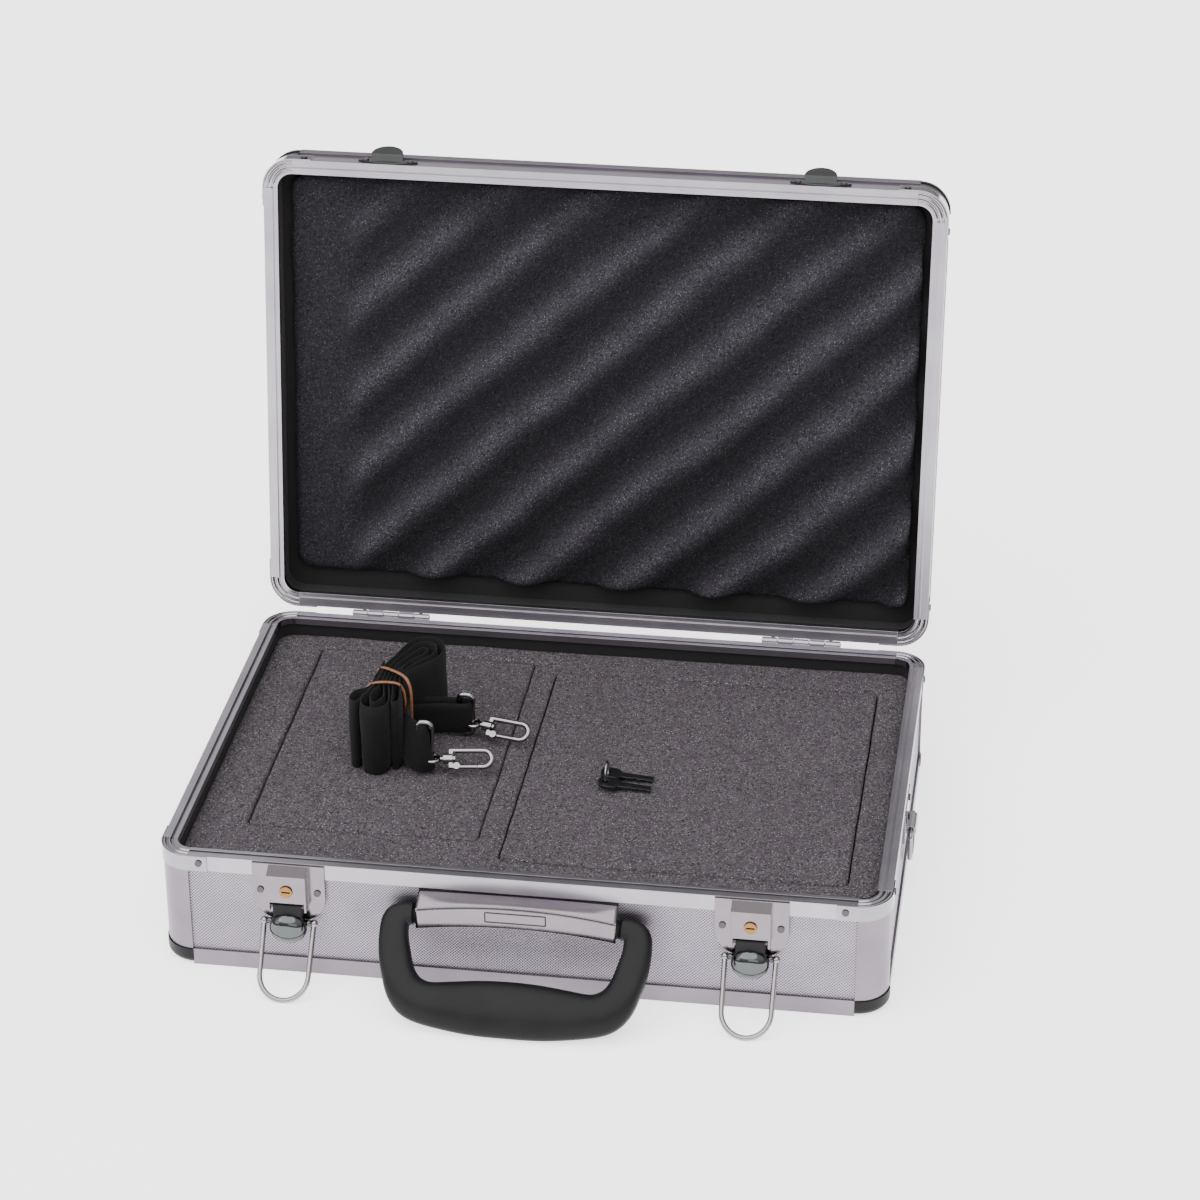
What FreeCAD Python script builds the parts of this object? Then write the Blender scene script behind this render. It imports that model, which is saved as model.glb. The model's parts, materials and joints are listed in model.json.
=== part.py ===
import FreeCAD, Part
import math
import os

import Sketcher

# Small aluminium carry case with foam, standing open.
# Millimetres. +Z up, the front with the handle faces -Y, X runs along the front.
# Origin: centre of the base's underside, which is the plane z = 0.
# Lid parts are designed in the closed position and swung open about the hinge axis.

doc = FreeCAD.newDocument("carry_case")
sheet = doc.addObject("Spreadsheet::Sheet", "Sheet")


# ---------------------------------------------------------------- driving sizes

class Size:
    """A number together with the spreadsheet formula that gives it."""

    def __init__(self, value, formula):
        self.value = float(value)
        self.formula = formula

    def __add__(self, other):
        other = as_size(other)
        return Size(self.value + other.value, f"({self.formula} + {other.formula})")

    def __sub__(self, other):
        other = as_size(other)
        return Size(self.value - other.value, f"({self.formula} - {other.formula})")

    def __mul__(self, other):
        other = as_size(other)
        return Size(self.value * other.value, f"({self.formula} * {other.formula})")

    def __truediv__(self, other):
        other = as_size(other)
        return Size(self.value / other.value, f"({self.formula} / {other.formula})")

    def __radd__(self, other):
        return as_size(other) + self

    def __rsub__(self, other):
        return as_size(other) - self

    def __rmul__(self, other):
        return as_size(other) * self

    def __neg__(self):
        return self * -1

    def __float__(self):
        return self.value


def as_size(number):
    if isinstance(number, Size):
        return number
    return Size(number, f"({number})")


sheet_rows = []


def cell(alias, number, meaning):
    """Write one driving size into the sheet and return it as a Size."""
    row = len(sheet_rows) + 1
    sheet_rows.append(alias)
    sheet.set(f"A{row}", meaning)
    sheet.set(f"B{row}", str(number))
    sheet.setAlias(f"B{row}", alias)
    return Size(number, f"Sheet.{alias}")


case_width = cell("case_width", 345, "outside, left to right")
case_depth = cell("case_depth", 240, "outside, front to back")
base_height = cell("base_height", 61, "underside to the base rim")
lid_height = cell("lid_height", 22.5, "lid rim to the lid's top")
parting_gap = cell("parting_gap", 0.4, "gap between the closed rims")
corner_round = cell("corner_round", 15, "outer corner radius in plan")
skin = cell("skin", 1.2, "wall of the aluminium extrusions")
panel_thick = cell("panel_thick", 4, "faced board of every wall")
lining_thick = cell("lining_thick", 0.8, "black lining")
rim_width = cell("rim_width", 7.25, "rim extrusion across its face")
rim_flange = cell("rim_flange", 8, "rim extrusion's height on the wall")
rim_web = cell("rim_web", 2.5, "rim extrusion's solid top")
rim_lip = cell("rim_lip", 3.6, "rim extrusion's height on the inside")
edge_flange = cell("edge_flange", 8.5, "bottom edge extrusion's legs")
lid_edge_flange = cell("lid_edge_flange", 6.5, "lid edge extrusion's legs")
cap_thick = cell("cap_thick", 0.6, "how far the corner caps stand proud")
cap_tab = cell("cap_tab", 9.5, "corner cap's tab beyond the arc")
hinge_behind = cell("hinge_behind", 2.2, "hinge axis behind the rear face")
lid_open_angle = cell("lid_open_angle", 97.65, "lid opening in degrees")
foam_drop = cell("foam_drop", 9.5, "base foam below the rim")
latch_place = cell("latch_place", 109, "latch centre from the middle")
latch_half = cell("latch_half", 17.25, "half the latch plate's width")
housing_half = cell("housing_half", 9.2, "half the latch housing's width")
sheet_metal = cell("sheet_metal", 1, "thickness of the stamped fittings")
lever_pin_y = cell("lever_pin_y", 4.8, "lever pin in front of the face")
lever_pin_z = cell("lever_pin_z", 40.2, "lever pin above the ground")
bail_pin_y = cell("bail_pin_y", 3.4, "bail pivot in front of the face")
bail_pin_z = cell("bail_pin_z", 30.5, "bail pivot above the ground")
bail_reach = cell("bail_reach", 36.95, "bail pivot to the loop's far wire")
bail_wire = cell("bail_wire", 1.3, "bail wire's radius")
bail_lean = cell("bail_lean", 37.8, "bail's lean from straight down")
hinge_place = cell("hinge_place", 108, "hinge centre from the middle")
hinge_length = cell("hinge_length", 41, "hinge along its axis")
knuckle_round = cell("knuckle_round", 1.9, "hinge barrel's radius")
handle_half = cell("handle_half", 64, "half the handle's width")
handle_drop = cell("handle_drop", 55, "handle pivot to the grip's far edge")
handle_pin_y = cell("handle_pin_y", 4.2, "handle pivot in front of the face")
handle_pin_z = cell("handle_pin_z", 41, "handle pivot above the ground")
handle_lean = cell("handle_lean", 44, "handle's lean from straight down")
handle_thick = cell("handle_thick", 14, "grip's thickness")
arm_thick = cell("arm_thick", 10, "handle arms' thickness")
bracket_half = cell("bracket_half", 47, "half the handle bracket's width")
webbing_width = cell("webbing_width", 38, "shoulder strap's width")

half_width = case_width / 2
half_depth = case_depth / 2
wall = skin + panel_thick
inner_round = corner_round - wall
hinge_y = half_depth + hinge_behind
hinge_z = base_height + parting_gap / 2
lid_bottom = base_height + parting_gap
lid_top = lid_bottom + lid_height
foam_top = base_height - foam_drop
sides = {"left": -1, "right": 1}


# ---------------------------------------------------------------- building blocks

def vector(x, y, z):
    return FreeCAD.Vector(float(x), float(y), float(z))


def bind(thing, prop, size):
    """Tie one property of an object to the spreadsheet."""
    thing.setExpression(prop, as_size(size).formula)


def move_to(thing, x=0, y=0, z=0):
    bind(thing, "Placement.Base.x", x)
    bind(thing, "Placement.Base.y", y)
    bind(thing, "Placement.Base.z", z)


def box(name, x, y, z):
    """A block between pairs of coordinates (low, high) on the three axes."""
    block = doc.addObject("Part::Box", name)
    for prop, (low, high) in (("Length", x), ("Width", y), ("Height", z)):
        bind(block, prop, high - as_size(low))
    move_to(block, x[0], y[0], z[0])
    return block


TURN_TO_AXIS = {
    "x": FreeCAD.Rotation(FreeCAD.Vector(0, 1, 0), 90),
    "y": FreeCAD.Rotation(FreeCAD.Vector(1, 0, 0), -90),
    "z": FreeCAD.Rotation(),
}


def cylinder(name, axis, radius, start, length):
    """A round bar along one axis from its start point (x, y, z)."""
    bar = doc.addObject("Part::Cylinder", name)
    bind(bar, "Radius", radius)
    bind(bar, "Height", length)
    bar.Placement = FreeCAD.Placement(FreeCAD.Vector(), TURN_TO_AXIS[axis])
    move_to(bar, *start)
    return bar


def fuse(name, *shapes):
    joined = doc.addObject("Part::MultiFuse", name)
    joined.Shapes = list(shapes)
    return joined


def cut(name, base, tool):
    result = doc.addObject("Part::Cut", name)
    result.Base = base
    result.Tool = tool
    return result


def origin_plane(body, role):
    for plane in body.Origin.OriginFeatures:
        if plane.Role == role:
            return plane
    raise ValueError(role)


def arc_between(start, end, radius, turn):
    """Arc from start to end; turn is +1 anticlockwise or -1 clockwise."""
    chord = end - start
    half = chord.Length / 2
    height = math.sqrt(max(radius * radius - half * half, 0))
    side = FreeCAD.Vector(-chord.y, chord.x, 0).normalize() * turn
    centre = (start + end) / 2 + side * height
    middle = centre - side * radius
    return Part.Arc(start, middle, end)


def outline_sketch(body, role, outline):
    """Closed outline of points (u, v), or (u, v, radius, turn) for an arc that ends there."""
    sketch = body.newObject("Sketcher::SketchObject", body.Name + "_outline")
    sketch.AttachmentSupport = [(origin_plane(body, role), "")]
    sketch.MapMode = "FlatFace"
    points = [FreeCAD.Vector(float(p[0]), float(p[1]), 0) for p in outline]
    ends = []
    for i, spot in enumerate(outline):
        if len(spot) == 4:
            curve = arc_between(points[i - 1], points[i], float(spot[2]), spot[3])
            ends.append((1, 2) if spot[3] > 0 else (2, 1))
        else:
            curve = Part.LineSegment(points[i - 1], points[i])
            ends.append((1, 2))
        sketch.addGeometry(curve, False)
    for i, spot in enumerate(outline):
        following = (i + 1) % len(outline)
        joint = Sketcher.Constraint("Coincident", i, ends[i][1], following, ends[following][0])
        sketch.addConstraint(joint)
        for kind, size in (("DistanceX", spot[0]), ("DistanceY", spot[1])):
            rule = Sketcher.Constraint(kind, -1, 1, i, ends[i][1], float(size))
            bind(sketch, f"Constraints[{sketch.addConstraint(rule)}]", size)
        if len(spot) == 4:
            rule = Sketcher.Constraint("Radius", i, float(spot[2]))
            bind(sketch, f"Constraints[{sketch.addConstraint(rule)}]", spot[2])
    return sketch


def prism(name, outline, low, high, role="XY_Plane"):
    """An outline pushed through from low to high along its plane's normal.

    XY outlines run along Z, XZ outlines (u = x, v = z) along Y, YZ outlines (u = y) along X.
    """
    body = doc.addObject("PartDesign::Body", name)
    sketch = outline_sketch(body, role, outline)
    pad = body.newObject("PartDesign::Pad", name + "_pad")
    pad.Profile = sketch
    bind(pad, "Length", high - as_size(low))
    move_to(body, **{"XY_Plane": {"z": low}, "XZ_Plane": {"y": high}, "YZ_Plane": {"x": low}}[role])
    return body


def rounded_rectangle(x, y, radius):
    """Outline between pairs of coordinates with equal rounded corners."""
    (west, east), (south, north) = x, y
    return [
        (east - radius, south),
        (east, south + radius, radius, 1),
        (east, north - radius),
        (east - radius, north, radius, 1),
        (west + radius, north),
        (west, north - radius, radius, 1),
        (west, south + radius),
        (west + radius, south, radius, 1),
    ]


def solid_feature(name, shape):
    """A free-form piece whose shape is worked out in code from the sheet's sizes."""
    feature = doc.addObject("Part::Feature", name)
    feature.Shape = shape
    return feature


def round_wire(path, radius):
    """A bar of round section along a path; a closed path gives a ring."""
    start = path.Edges[0]
    direction = start.tangentAt(start.FirstParameter)
    section = Part.Wire(Part.makeCircle(radius, start.valueAt(start.FirstParameter), direction))
    corners = 2 if path.isClosed() else 0
    return path.makePipeShell([section], True, False, corners)


sub_parts = {}


def sub_part(label, pieces, placement=None):
    """Give a sub-part its name; several pieces, or a lid piece, go into one compound."""
    pieces = list(pieces)
    if len(pieces) == 1 and placement is None:
        node = pieces[0]
    else:
        node = doc.addObject("Part::Compound", label + "_set")
        node.Links = pieces
        if placement is not None:
            node.Placement = placement
    node.Label = label
    sub_parts[label] = node
    return node


def about_x(y, z, degrees):
    """Placement that turns a piece about a line along X through (y, z)."""
    centre = FreeCAD.Vector(0, float(y), float(z))
    turn = FreeCAD.Rotation(FreeCAD.Vector(1, 0, 0), degrees)
    return FreeCAD.Placement(centre - turn.multVec(centre), turn)


lid_open = about_x(hinge_y, hinge_z, -float(lid_open_angle))


# ---------------------------------------------------------------- the two shells

def corner_placements():
    """Where the front-right corner's arc centre goes for each of the four corners."""
    places = []
    for turns, x_side, y_side in ((0, 1, -1), (1, 1, 1), (2, -1, 1), (3, -1, -1)):
        x = x_side * float(half_width - corner_round)
        y = y_side * float(half_depth - corner_round)
        turn = FreeCAD.Rotation(FreeCAD.Vector(0, 0, 1), 90 * turns)
        places.append(FreeCAD.Placement(FreeCAD.Vector(x, y, 0), turn))
    return places


def four_corners(name, make):
    """Repeat one corner piece at the four corners, each its own solid."""
    pieces = []
    for number, place in enumerate(corner_placements()):
        piece = doc.addObject("Part::Compound", f"{name}_{number}")
        piece.Links = [make(f"{name}_{number}_piece")]
        piece.Placement = place
        pieces.append(piece)
    return pieces


def ring_outline(outer, inner):
    """Quarter ring about the corner's arc centre."""
    return [(0, -outer), (outer, 0, outer, 1), (inner, 0), (0, -inner, inner, -1)]


def rim_section(side, face, up):
    """Section (u outward coordinate, v = z) of a rim extrusion on one side.

    side is -1 or +1 along the outward axis, up is -1 for the base and +1 for the lid.
    The base has a groove in its face, and the lid a bead that drops into it.
    """
    outer = half_depth * side

    def spot(inward, depth):
        return (outer - side * as_size(inward), face + up * as_size(depth))

    groove = [(3.6, 0), (3.6, 1.5), (5.2, 1.5), (5.2, 0)]
    bead = [(3.9, 0), (3.9, -1.0), (4.9, -1.0), (4.9, 0)]
    middle = groove if up < 0 else bead
    inner = rim_width - skin
    return (
        [spot(0, rim_flange), spot(0, 0)]
        + [spot(*place) for place in middle]
        + [spot(rim_width, 0), spot(rim_width, rim_lip), spot(inner, rim_lip)]
        + [spot(inner, rim_web), spot(skin, rim_web), spot(skin, rim_flange)]
    )


def side_rim_section(side, face, up):
    """The same section for the left and right rims, whose outward axis is X."""
    shift = (half_width - half_depth) * side
    return [(u + shift, v) for u, v in rim_section(side, face, up)]


def wall_panels(prefix, low, high, placement, front_holes=()):
    """Front, back, left and right boards between the extrusions."""
    reach_x = half_width - corner_round
    reach_y = half_depth - corner_round
    for name, side in (("front", -1), ("back", 1)):
        near = side * (half_depth - skin)
        far = side * (half_depth - wall)
        span = (near, far) if side < 0 else (far, near)
        board = box(f"{prefix}_{name}_board", (-reach_x, reach_x), span, (low, high))
        if name == "front" and front_holes:
            holes = [cylinder(f"{prefix}_board_hole{number}", "y", bolt_round + 0.05,
                              (x, -half_depth, z), wall + 1)
                     for number, (x, z) in enumerate(front_holes)]
            board = cut(f"{prefix}_drilled_board", board, fuse(f"{prefix}_board_holes", *holes))
        sub_part(f"{prefix}_{name}_panel", [board], placement)
    boards = []
    for name, side in sides.items():
        near = side * (half_width - skin)
        far = side * (half_width - wall)
        span = (near, far) if side < 0 else (far, near)
        boards.append(box(f"{prefix}_{name}_board", span, (-reach_y, reach_y), (low, high)))
    sub_part(f"{prefix}_side_panels", boards, placement)


def rims(prefix, face, up, placement):
    """Rim extrusions along the four sides, between the corner caps."""
    reach_x = half_width - corner_round
    reach_y = half_depth - corner_round
    for name, side in (("front", -1), ("back", 1)):
        bar = prism(f"{prefix}_{name}_bar", rim_section(side, face, up), -reach_x, reach_x,
                    "YZ_Plane")
        sub_part(f"{prefix}_{name}_rim", [bar], placement)
    bars = []
    for name, side in sides.items():
        bars.append(prism(f"{prefix}_{name}_bar", side_rim_section(side, face, up),
                          -reach_y, reach_y, "XZ_Plane"))
    sub_part(f"{prefix}_side_rims", bars, placement)


def edge_bars(name, outer, up, leg, placement):
    """Angle extrusions along the shell's far edges; up points into the shell."""
    reach_x = half_width - corner_round
    reach_y = half_depth - corner_round
    bars = []
    for side in (-1, 1):
        for axis, half, reach, role in (("y", half_depth, reach_x, "YZ_Plane"),
                                        ("x", half_width, reach_y, "XZ_Plane")):
            section = [
                (side * half, outer),
                (side * (half - leg), outer),
                (side * (half - leg), outer + up * skin),
                (side * (half - skin), outer + up * skin),
                (side * (half - skin), outer + up * leg),
                (side * half, outer + up * leg),
            ]
            bars.append(prism(f"{name}_{axis}{side + 1}", section, -reach, reach, role))
    sub_part(name, bars, placement)


def cap_shape(name, outer, up, leg):
    """Black corner cap: a quarter ring with its far outer edge well rounded."""
    proud = float(corner_round + cap_thick)
    inner = float(inner_round)
    bend = 4.0
    low = float(outer)
    turn_end = low + up * bend
    high = low + up * float(leg)
    corner = bend * (1 - 1 / math.sqrt(2))
    section = Part.Wire([
        Part.LineSegment(vector(inner, 0, low), vector(proud - bend, 0, low)).toShape(),
        Part.Arc(vector(proud - bend, 0, low), vector(proud - corner, 0, low + up * corner),
                 vector(proud, 0, turn_end)).toShape(),
        Part.LineSegment(vector(proud, 0, turn_end), vector(proud, 0, high)).toShape(),
        Part.LineSegment(vector(proud, 0, high), vector(inner, 0, high)).toShape(),
        Part.LineSegment(vector(inner, 0, high), vector(inner, 0, low)).toShape(),
    ])
    ring = Part.Face(section).revolve(vector(0, 0, 0), vector(0, 0, 1), 90)
    ring.rotate(vector(0, 0, 0), vector(0, 0, 1), -90)
    return solid_feature(name, ring)


def corner_set(prefix, outer, face, up, leg, placement):
    """Posts, far caps and chrome rim caps at the four corners of one shell.

    outer is the shell's far plane, face its rim plane, up points from outer to face.
    """
    def between(first, second):
        return (first, second) if float(first) < float(second) else (second, first)

    def post(name):
        low, high = between(outer + up * leg, face - up * rim_web)
        blank = prism(name + "_blank", ring_outline(corner_round, inner_round), low, high)
        middle = float(corner_round + inner_round) / 2 / math.sqrt(2)
        bore = cylinder(name + "_bore", "z", 1.4, (middle, -middle, low - 1), high - low + 2)
        return cut(name, blank, bore)

    def far_cap(name):
        return cap_shape(name, outer, up, leg)

    def rim_cap(name):
        proud = corner_round + cap_thick
        inner = corner_round - rim_width
        sunk = 0.6
        tab_outline = [
            (-cap_tab, -proud),
            (0, -proud),
            (proud, 0, proud, 1),
            (proud, cap_tab),
            (corner_round, cap_tab),
            (corner_round, 0),
            (0, -corner_round, corner_round, -1),
            (-cap_tab, -corner_round),
        ]
        skirt = prism(name + "_skirt", tab_outline, *between(face - up * rim_flange, face))
        inside = prism(name + "_inside", ring_outline(inner + skin, inner),
                       *between(face - up * rim_lip, face))
        web = prism(name + "_web", ring_outline(proud, inner),
                    *between(face - up * rim_web, face - up * sunk))
        pieces = [skirt, inside, web]
        bead_round = 1.1
        for number in range(3):
            bead = doc.addObject("Part::Torus", f"{name}_bead{number}")
            bind(bead, "Radius1", inner + 1.6 + 2.4 * number)
            bead.Radius2 = bead_round
            bead.Angle3 = 90
            bead.Placement.Rotation = FreeCAD.Rotation(FreeCAD.Vector(0, 0, 1), -90)
            move_to(bead, 0, 0, face - up * bead_round)
            pieces.append(bead)
        return fuse(name, *pieces)

    sub_part(f"{prefix}_corner_posts", four_corners(f"{prefix}_post", post), placement)
    sub_part(f"{prefix}_corner_feet" if up > 0 else f"{prefix}_corner_guards",
             four_corners(f"{prefix}_far_cap", far_cap), placement)
    sub_part(f"{prefix}_rim_corners", four_corners(f"{prefix}_rim_cap", rim_cap), placement)


def lining(prefix, floor, mouth, placement):
    """Thin black tub that faces the walls and floor."""
    low, high = (floor, mouth) if float(floor) < float(mouth) else (mouth, floor)
    reach_x = half_width - wall
    reach_y = half_depth - wall
    outer = prism(f"{prefix}_lining_outer",
                  rounded_rectangle((-reach_x, reach_x), (-reach_y, reach_y), inner_round),
                  low, high)
    inner_x = reach_x - lining_thick
    inner_y = reach_y - lining_thick
    shift = lining_thick if float(floor) < float(mouth) else -lining_thick
    hollow = prism(f"{prefix}_lining_hollow",
                   rounded_rectangle((-inner_x, inner_x), (-inner_y, inner_y),
                                     inner_round - lining_thick),
                   low + shift, high + shift)
    sub_part(f"{prefix}_lining", [cut(f"{prefix}_lining_tub", outer, hollow)], placement)


# base shell
panel_x = half_width - wall
panel_y = half_depth - wall
floor_board = prism(
    "base_floor_board",
    rounded_rectangle((-panel_x, panel_x), (-panel_y, panel_y), inner_round), skin, wall)
flush = edge_flange + 0.1
floor_step = box("base_floor_step", (flush - half_width, half_width - flush),
                 (flush - half_depth, half_depth - flush), (as_size(0), skin))
sub_part("base_bottom_panel", [fuse("base_bottom_board", floor_board, floor_step)])
bolt_round = as_size(1.5)
bolt_places = [(as_size(32 * side), as_size(40.8)) for side in sides.values()]
wall_panels("base", skin, base_height - rim_web, None, bolt_places)
rims("base", base_height, -1, None)
edge_bars("base_bottom_edges", as_size(0), 1, edge_flange, None)
corner_set("base", as_size(0), base_height, 1, edge_flange, None)
lining("base", wall, base_height - rim_web, None)

# lid shell, closed position
lid_board = prism(
    "lid_top_board",
    rounded_rectangle((-panel_x, panel_x), (-panel_y, panel_y), inner_round),
    lid_top - wall, lid_top - skin)
sub_part("lid_top_panel", [lid_board], lid_open)
wall_panels("lid", lid_bottom + rim_web, lid_top - skin, lid_open)
rims("lid", lid_bottom, 1, lid_open)
edge_bars("lid_top_edges", lid_top, -1, lid_edge_flange, lid_open)
corner_set("lid", lid_top, lid_bottom, -1, lid_edge_flange, lid_open)
lining("lid", lid_top - wall, lid_bottom + rim_web, lid_open)


# ---------------------------------------------------------------- foam

foam_low = wall + lining_thick + 0.2
pocket_floor = foam_low + 5
cut_gap = 0.6
foam_x = panel_x - lining_thick - 0.3
foam_y = panel_y - lining_thick - 0.3
plug_spans = {
    "left": ((-140, -28), (-73, 100)),
    "right": ((-15, 150), (-88, 92)),
}

base_block = prism("base_foam_block",
                   rounded_rectangle((-foam_x, foam_x), (-foam_y, foam_y), as_size(8.7)),
                   foam_low, foam_top)
pockets = []
for name, (x, y) in plug_spans.items():
    grown_x = (as_size(x[0] - cut_gap), as_size(x[1] + cut_gap))
    grown_y = (as_size(y[0] - cut_gap), as_size(y[1] + cut_gap))
    pockets.append(prism(f"foam_pocket_{name}", rounded_rectangle(grown_x, grown_y, as_size(4)),
                         pocket_floor, foam_top + 5))
    plug = prism(f"foam_plug_{name}_block",
                 rounded_rectangle(tuple(map(as_size, x)), tuple(map(as_size, y)), as_size(3.4)),
                 pocket_floor + 0.2, foam_top)
    sub_part(f"foam_plug_{name}", [plug])
sub_part("base_foam", [cut("base_foam_cut", base_block, fuse("foam_pockets", *pockets))])

lid_foam_low = lid_bottom + 3.6
lid_foam = prism(
    "lid_foam_slab",
    rounded_rectangle((as_size(-161), as_size(161)), (as_size(-110), as_size(103)), as_size(9)),
    lid_foam_low, lid_top - wall - lining_thick - 0.2)
sub_part("lid_foam", [lid_foam], lid_open)


# ---------------------------------------------------------------- hinges

def hinge_leaf(name, centre, up):
    """A leaf on the rear face with its share of the five knuckles; up is -1 on the base."""
    knuckles = 5
    pitch = hinge_length / knuckles
    slack = 0.15
    low = centre - hinge_length / 2
    plate_edge = hinge_z + up * 2.4
    plate_far = hinge_z + up * (rim_flange - 0.4)
    span = (plate_far, plate_edge) if up < 0 else (plate_edge, plate_far)
    pieces = [box(name + "_plate", (low, low + hinge_length), (half_depth, half_depth + 0.9), span)]
    first = 0 if up < 0 else 1
    for number in range(first, knuckles, 2):
        start = low + pitch * number + slack
        length = pitch - 2 * slack
        barrel = cylinder(f"{name}_barrel{number}", "x", knuckle_round,
                          (start, hinge_y, hinge_z), length)
        tab_span = (hinge_z - 3.2, hinge_z) if up < 0 else (hinge_z, hinge_z + 3.2)
        tab = box(f"{name}_tab{number}", (start, start + length),
                  (half_depth, half_depth + 1.7), tab_span)
        pieces += [barrel, tab]
    bore = cylinder(name + "_bore", "x", 1.0, (low - 1, hinge_y, hinge_z), hinge_length + 2)
    return cut(name, fuse(name + "_blank", *pieces), bore)


base_leaves = []
lid_leaves = []
hinge_pins = []
for name, side in sides.items():
    centre = hinge_place * side
    base_leaves.append(hinge_leaf(f"hinge_base_{name}", centre, -1))
    lid_leaves.append(hinge_leaf(f"hinge_lid_{name}", centre, 1))
    hinge_pins.append(cylinder(f"hinge_pin_{name}", "x", 0.95,
                               (centre - hinge_length / 2, hinge_y, hinge_z), hinge_length))
sub_part("hinge_base_leaves", base_leaves)
sub_part("hinge_lid_leaves", lid_leaves, lid_open)
sub_part("hinge_pins", hinge_pins)


# ---------------------------------------------------------------- latches and catches

front = -half_depth
latch_top = base_height - 0.5
latch_foot = as_size(29.5)
housing_front = front - 6.5
lock_z = as_size(49.2)


def latch_plate(name, centre):
    """Stamped plate with the raised housing that carries the lock and the lever's pin."""
    west = centre - latch_half
    east = centre + latch_half
    belly = as_size(14)
    outline = [
        (east, latch_top),
        (west, latch_top),
        (west, latch_foot + belly),
        (west + belly, latch_foot, belly, 1),
        (east - belly, latch_foot),
        (east, latch_foot + belly, belly, 1),
    ]
    plate = prism(name + "_plate", outline, front - sheet_metal, front, "XZ_Plane")
    back_outline = [
        (east - 4, base_height - rim_flange - 0.1),
        (west + 4, base_height - rim_flange - 0.1),
        (west + 4, latch_foot + belly),
        (west + belly, latch_foot + 3),
        (east - belly, latch_foot + 3),
        (east - 4, latch_foot + belly),
    ]
    backing = prism(name + "_backing", back_outline, front, front + skin, "XZ_Plane")
    face = box(name + "_face", (centre - housing_half, centre + housing_half),
               (housing_front, housing_front + sheet_metal), (as_size(42.6), as_size(57.2)))
    roof_outline = [
        (housing_front, 57.2),
        (housing_front, 56.2),
        (front - sheet_metal / 2, 59.2),
        (front - sheet_metal / 2, 60.2),
    ]
    roof = prism(name + "_roof", roof_outline, centre - housing_half, centre + housing_half,
                 "YZ_Plane")
    pieces = [plate, backing, face, roof]
    for number, side in enumerate((-1, 1)):
        outer = centre + side * housing_half
        inner = centre + side * (housing_half - sheet_metal)
        span = (outer, inner) if side < 0 else (inner, outer)
        cheek_outline = [
            (front - sheet_metal, 38),
            (front - sheet_metal, 59.7),
            (housing_front, 57),
            (housing_front, 38),
        ]
        pieces.append(prism(f"{name}_cheek{number}", cheek_outline, *span, "YZ_Plane"))
    blank = fuse(name + "_blank", *pieces)
    lock_bore = cylinder(name + "_lock_bore", "y", 3.05,
                         (centre, housing_front - 1, lock_z), as_size(3))
    pin_bore = cylinder(name + "_pin_bore", "x", 1.0,
                        (centre - housing_half - 1, front - lever_pin_y, lever_pin_z),
                        housing_half * 2 + 2)
    return cut(name, blank, fuse(name + "_bores", lock_bore, pin_bore))


def lock_cylinder(name, centre):
    """Brass barrel with a key slot and the small cam behind the housing."""
    barrel = cylinder(name + "_barrel", "y", 3.0, (centre, housing_front - 0.9, lock_z),
                      as_size(4.4))
    cam = box(name + "_cam", (centre, centre + 6), (front - 3.8, front - 2.6),
              (lock_z - 1.2, lock_z + 1.2))
    slot = box(name + "_slot", (centre - 2, centre + 2), (housing_front - 1.5, housing_front + 1),
               (lock_z - 0.4, lock_z + 0.4))
    return cut(name, fuse(name + "_blank", barrel, cam), slot)


def latch_lever(name, centre):
    """Lever with a domed thumb piece, hung on its pin and carrying the bail."""
    half = housing_half - sheet_metal - 0.5
    trunnion_half = as_size(9.4)
    pin_y = front - lever_pin_y
    bail_y = front - bail_pin_y
    hub = cylinder(name + "_hub", "x", 2.2, (centre - half, pin_y, lever_pin_z), half * 2)
    arm = box(name + "_arm", (centre - half, centre + half), (pin_y - 1.6, bail_y + 0.6),
              (bail_pin_z - 1, lever_pin_z - 1))
    trunnion = cylinder(name + "_trunnion", "x", 2.0,
                        (centre - trunnion_half, bail_y, bail_pin_z), trunnion_half * 2)
    dome_z = as_size(28.8)
    dome_round = as_size(8.5)
    disc = cylinder(name + "_disc", "y", dome_round, (centre, pin_y - 3.4, dome_z), as_size(2.4))
    ball = doc.addObject("Part::Sphere", name + "_ball")
    bind(ball, "Radius", dome_round * 1.6)
    move_to(ball, centre, pin_y - 3.4 + dome_round * 1.25, dome_z)
    cap_zone = cylinder(name + "_cap_zone", "y", dome_round, (centre, pin_y - 8, dome_z),
                        as_size(4.8))
    crown = doc.addObject("Part::Common", name + "_crown")
    crown.Base = ball
    crown.Tool = cap_zone
    blank = fuse(name + "_blank", hub, arm, trunnion, disc, crown)
    pin_bore = cylinder(name + "_pin_bore", "x", 1.06,
                        (centre - half - 1, pin_y, lever_pin_z), half * 2 + 2)
    bail_bore = cylinder(name + "_bail_bore", "x", bail_wire + 0.08,
                         (centre - trunnion_half - 1, bail_y, bail_pin_z), trunnion_half * 2 + 2)
    return cut(name, blank, fuse(name + "_bores", pin_bore, bail_bore))


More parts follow.
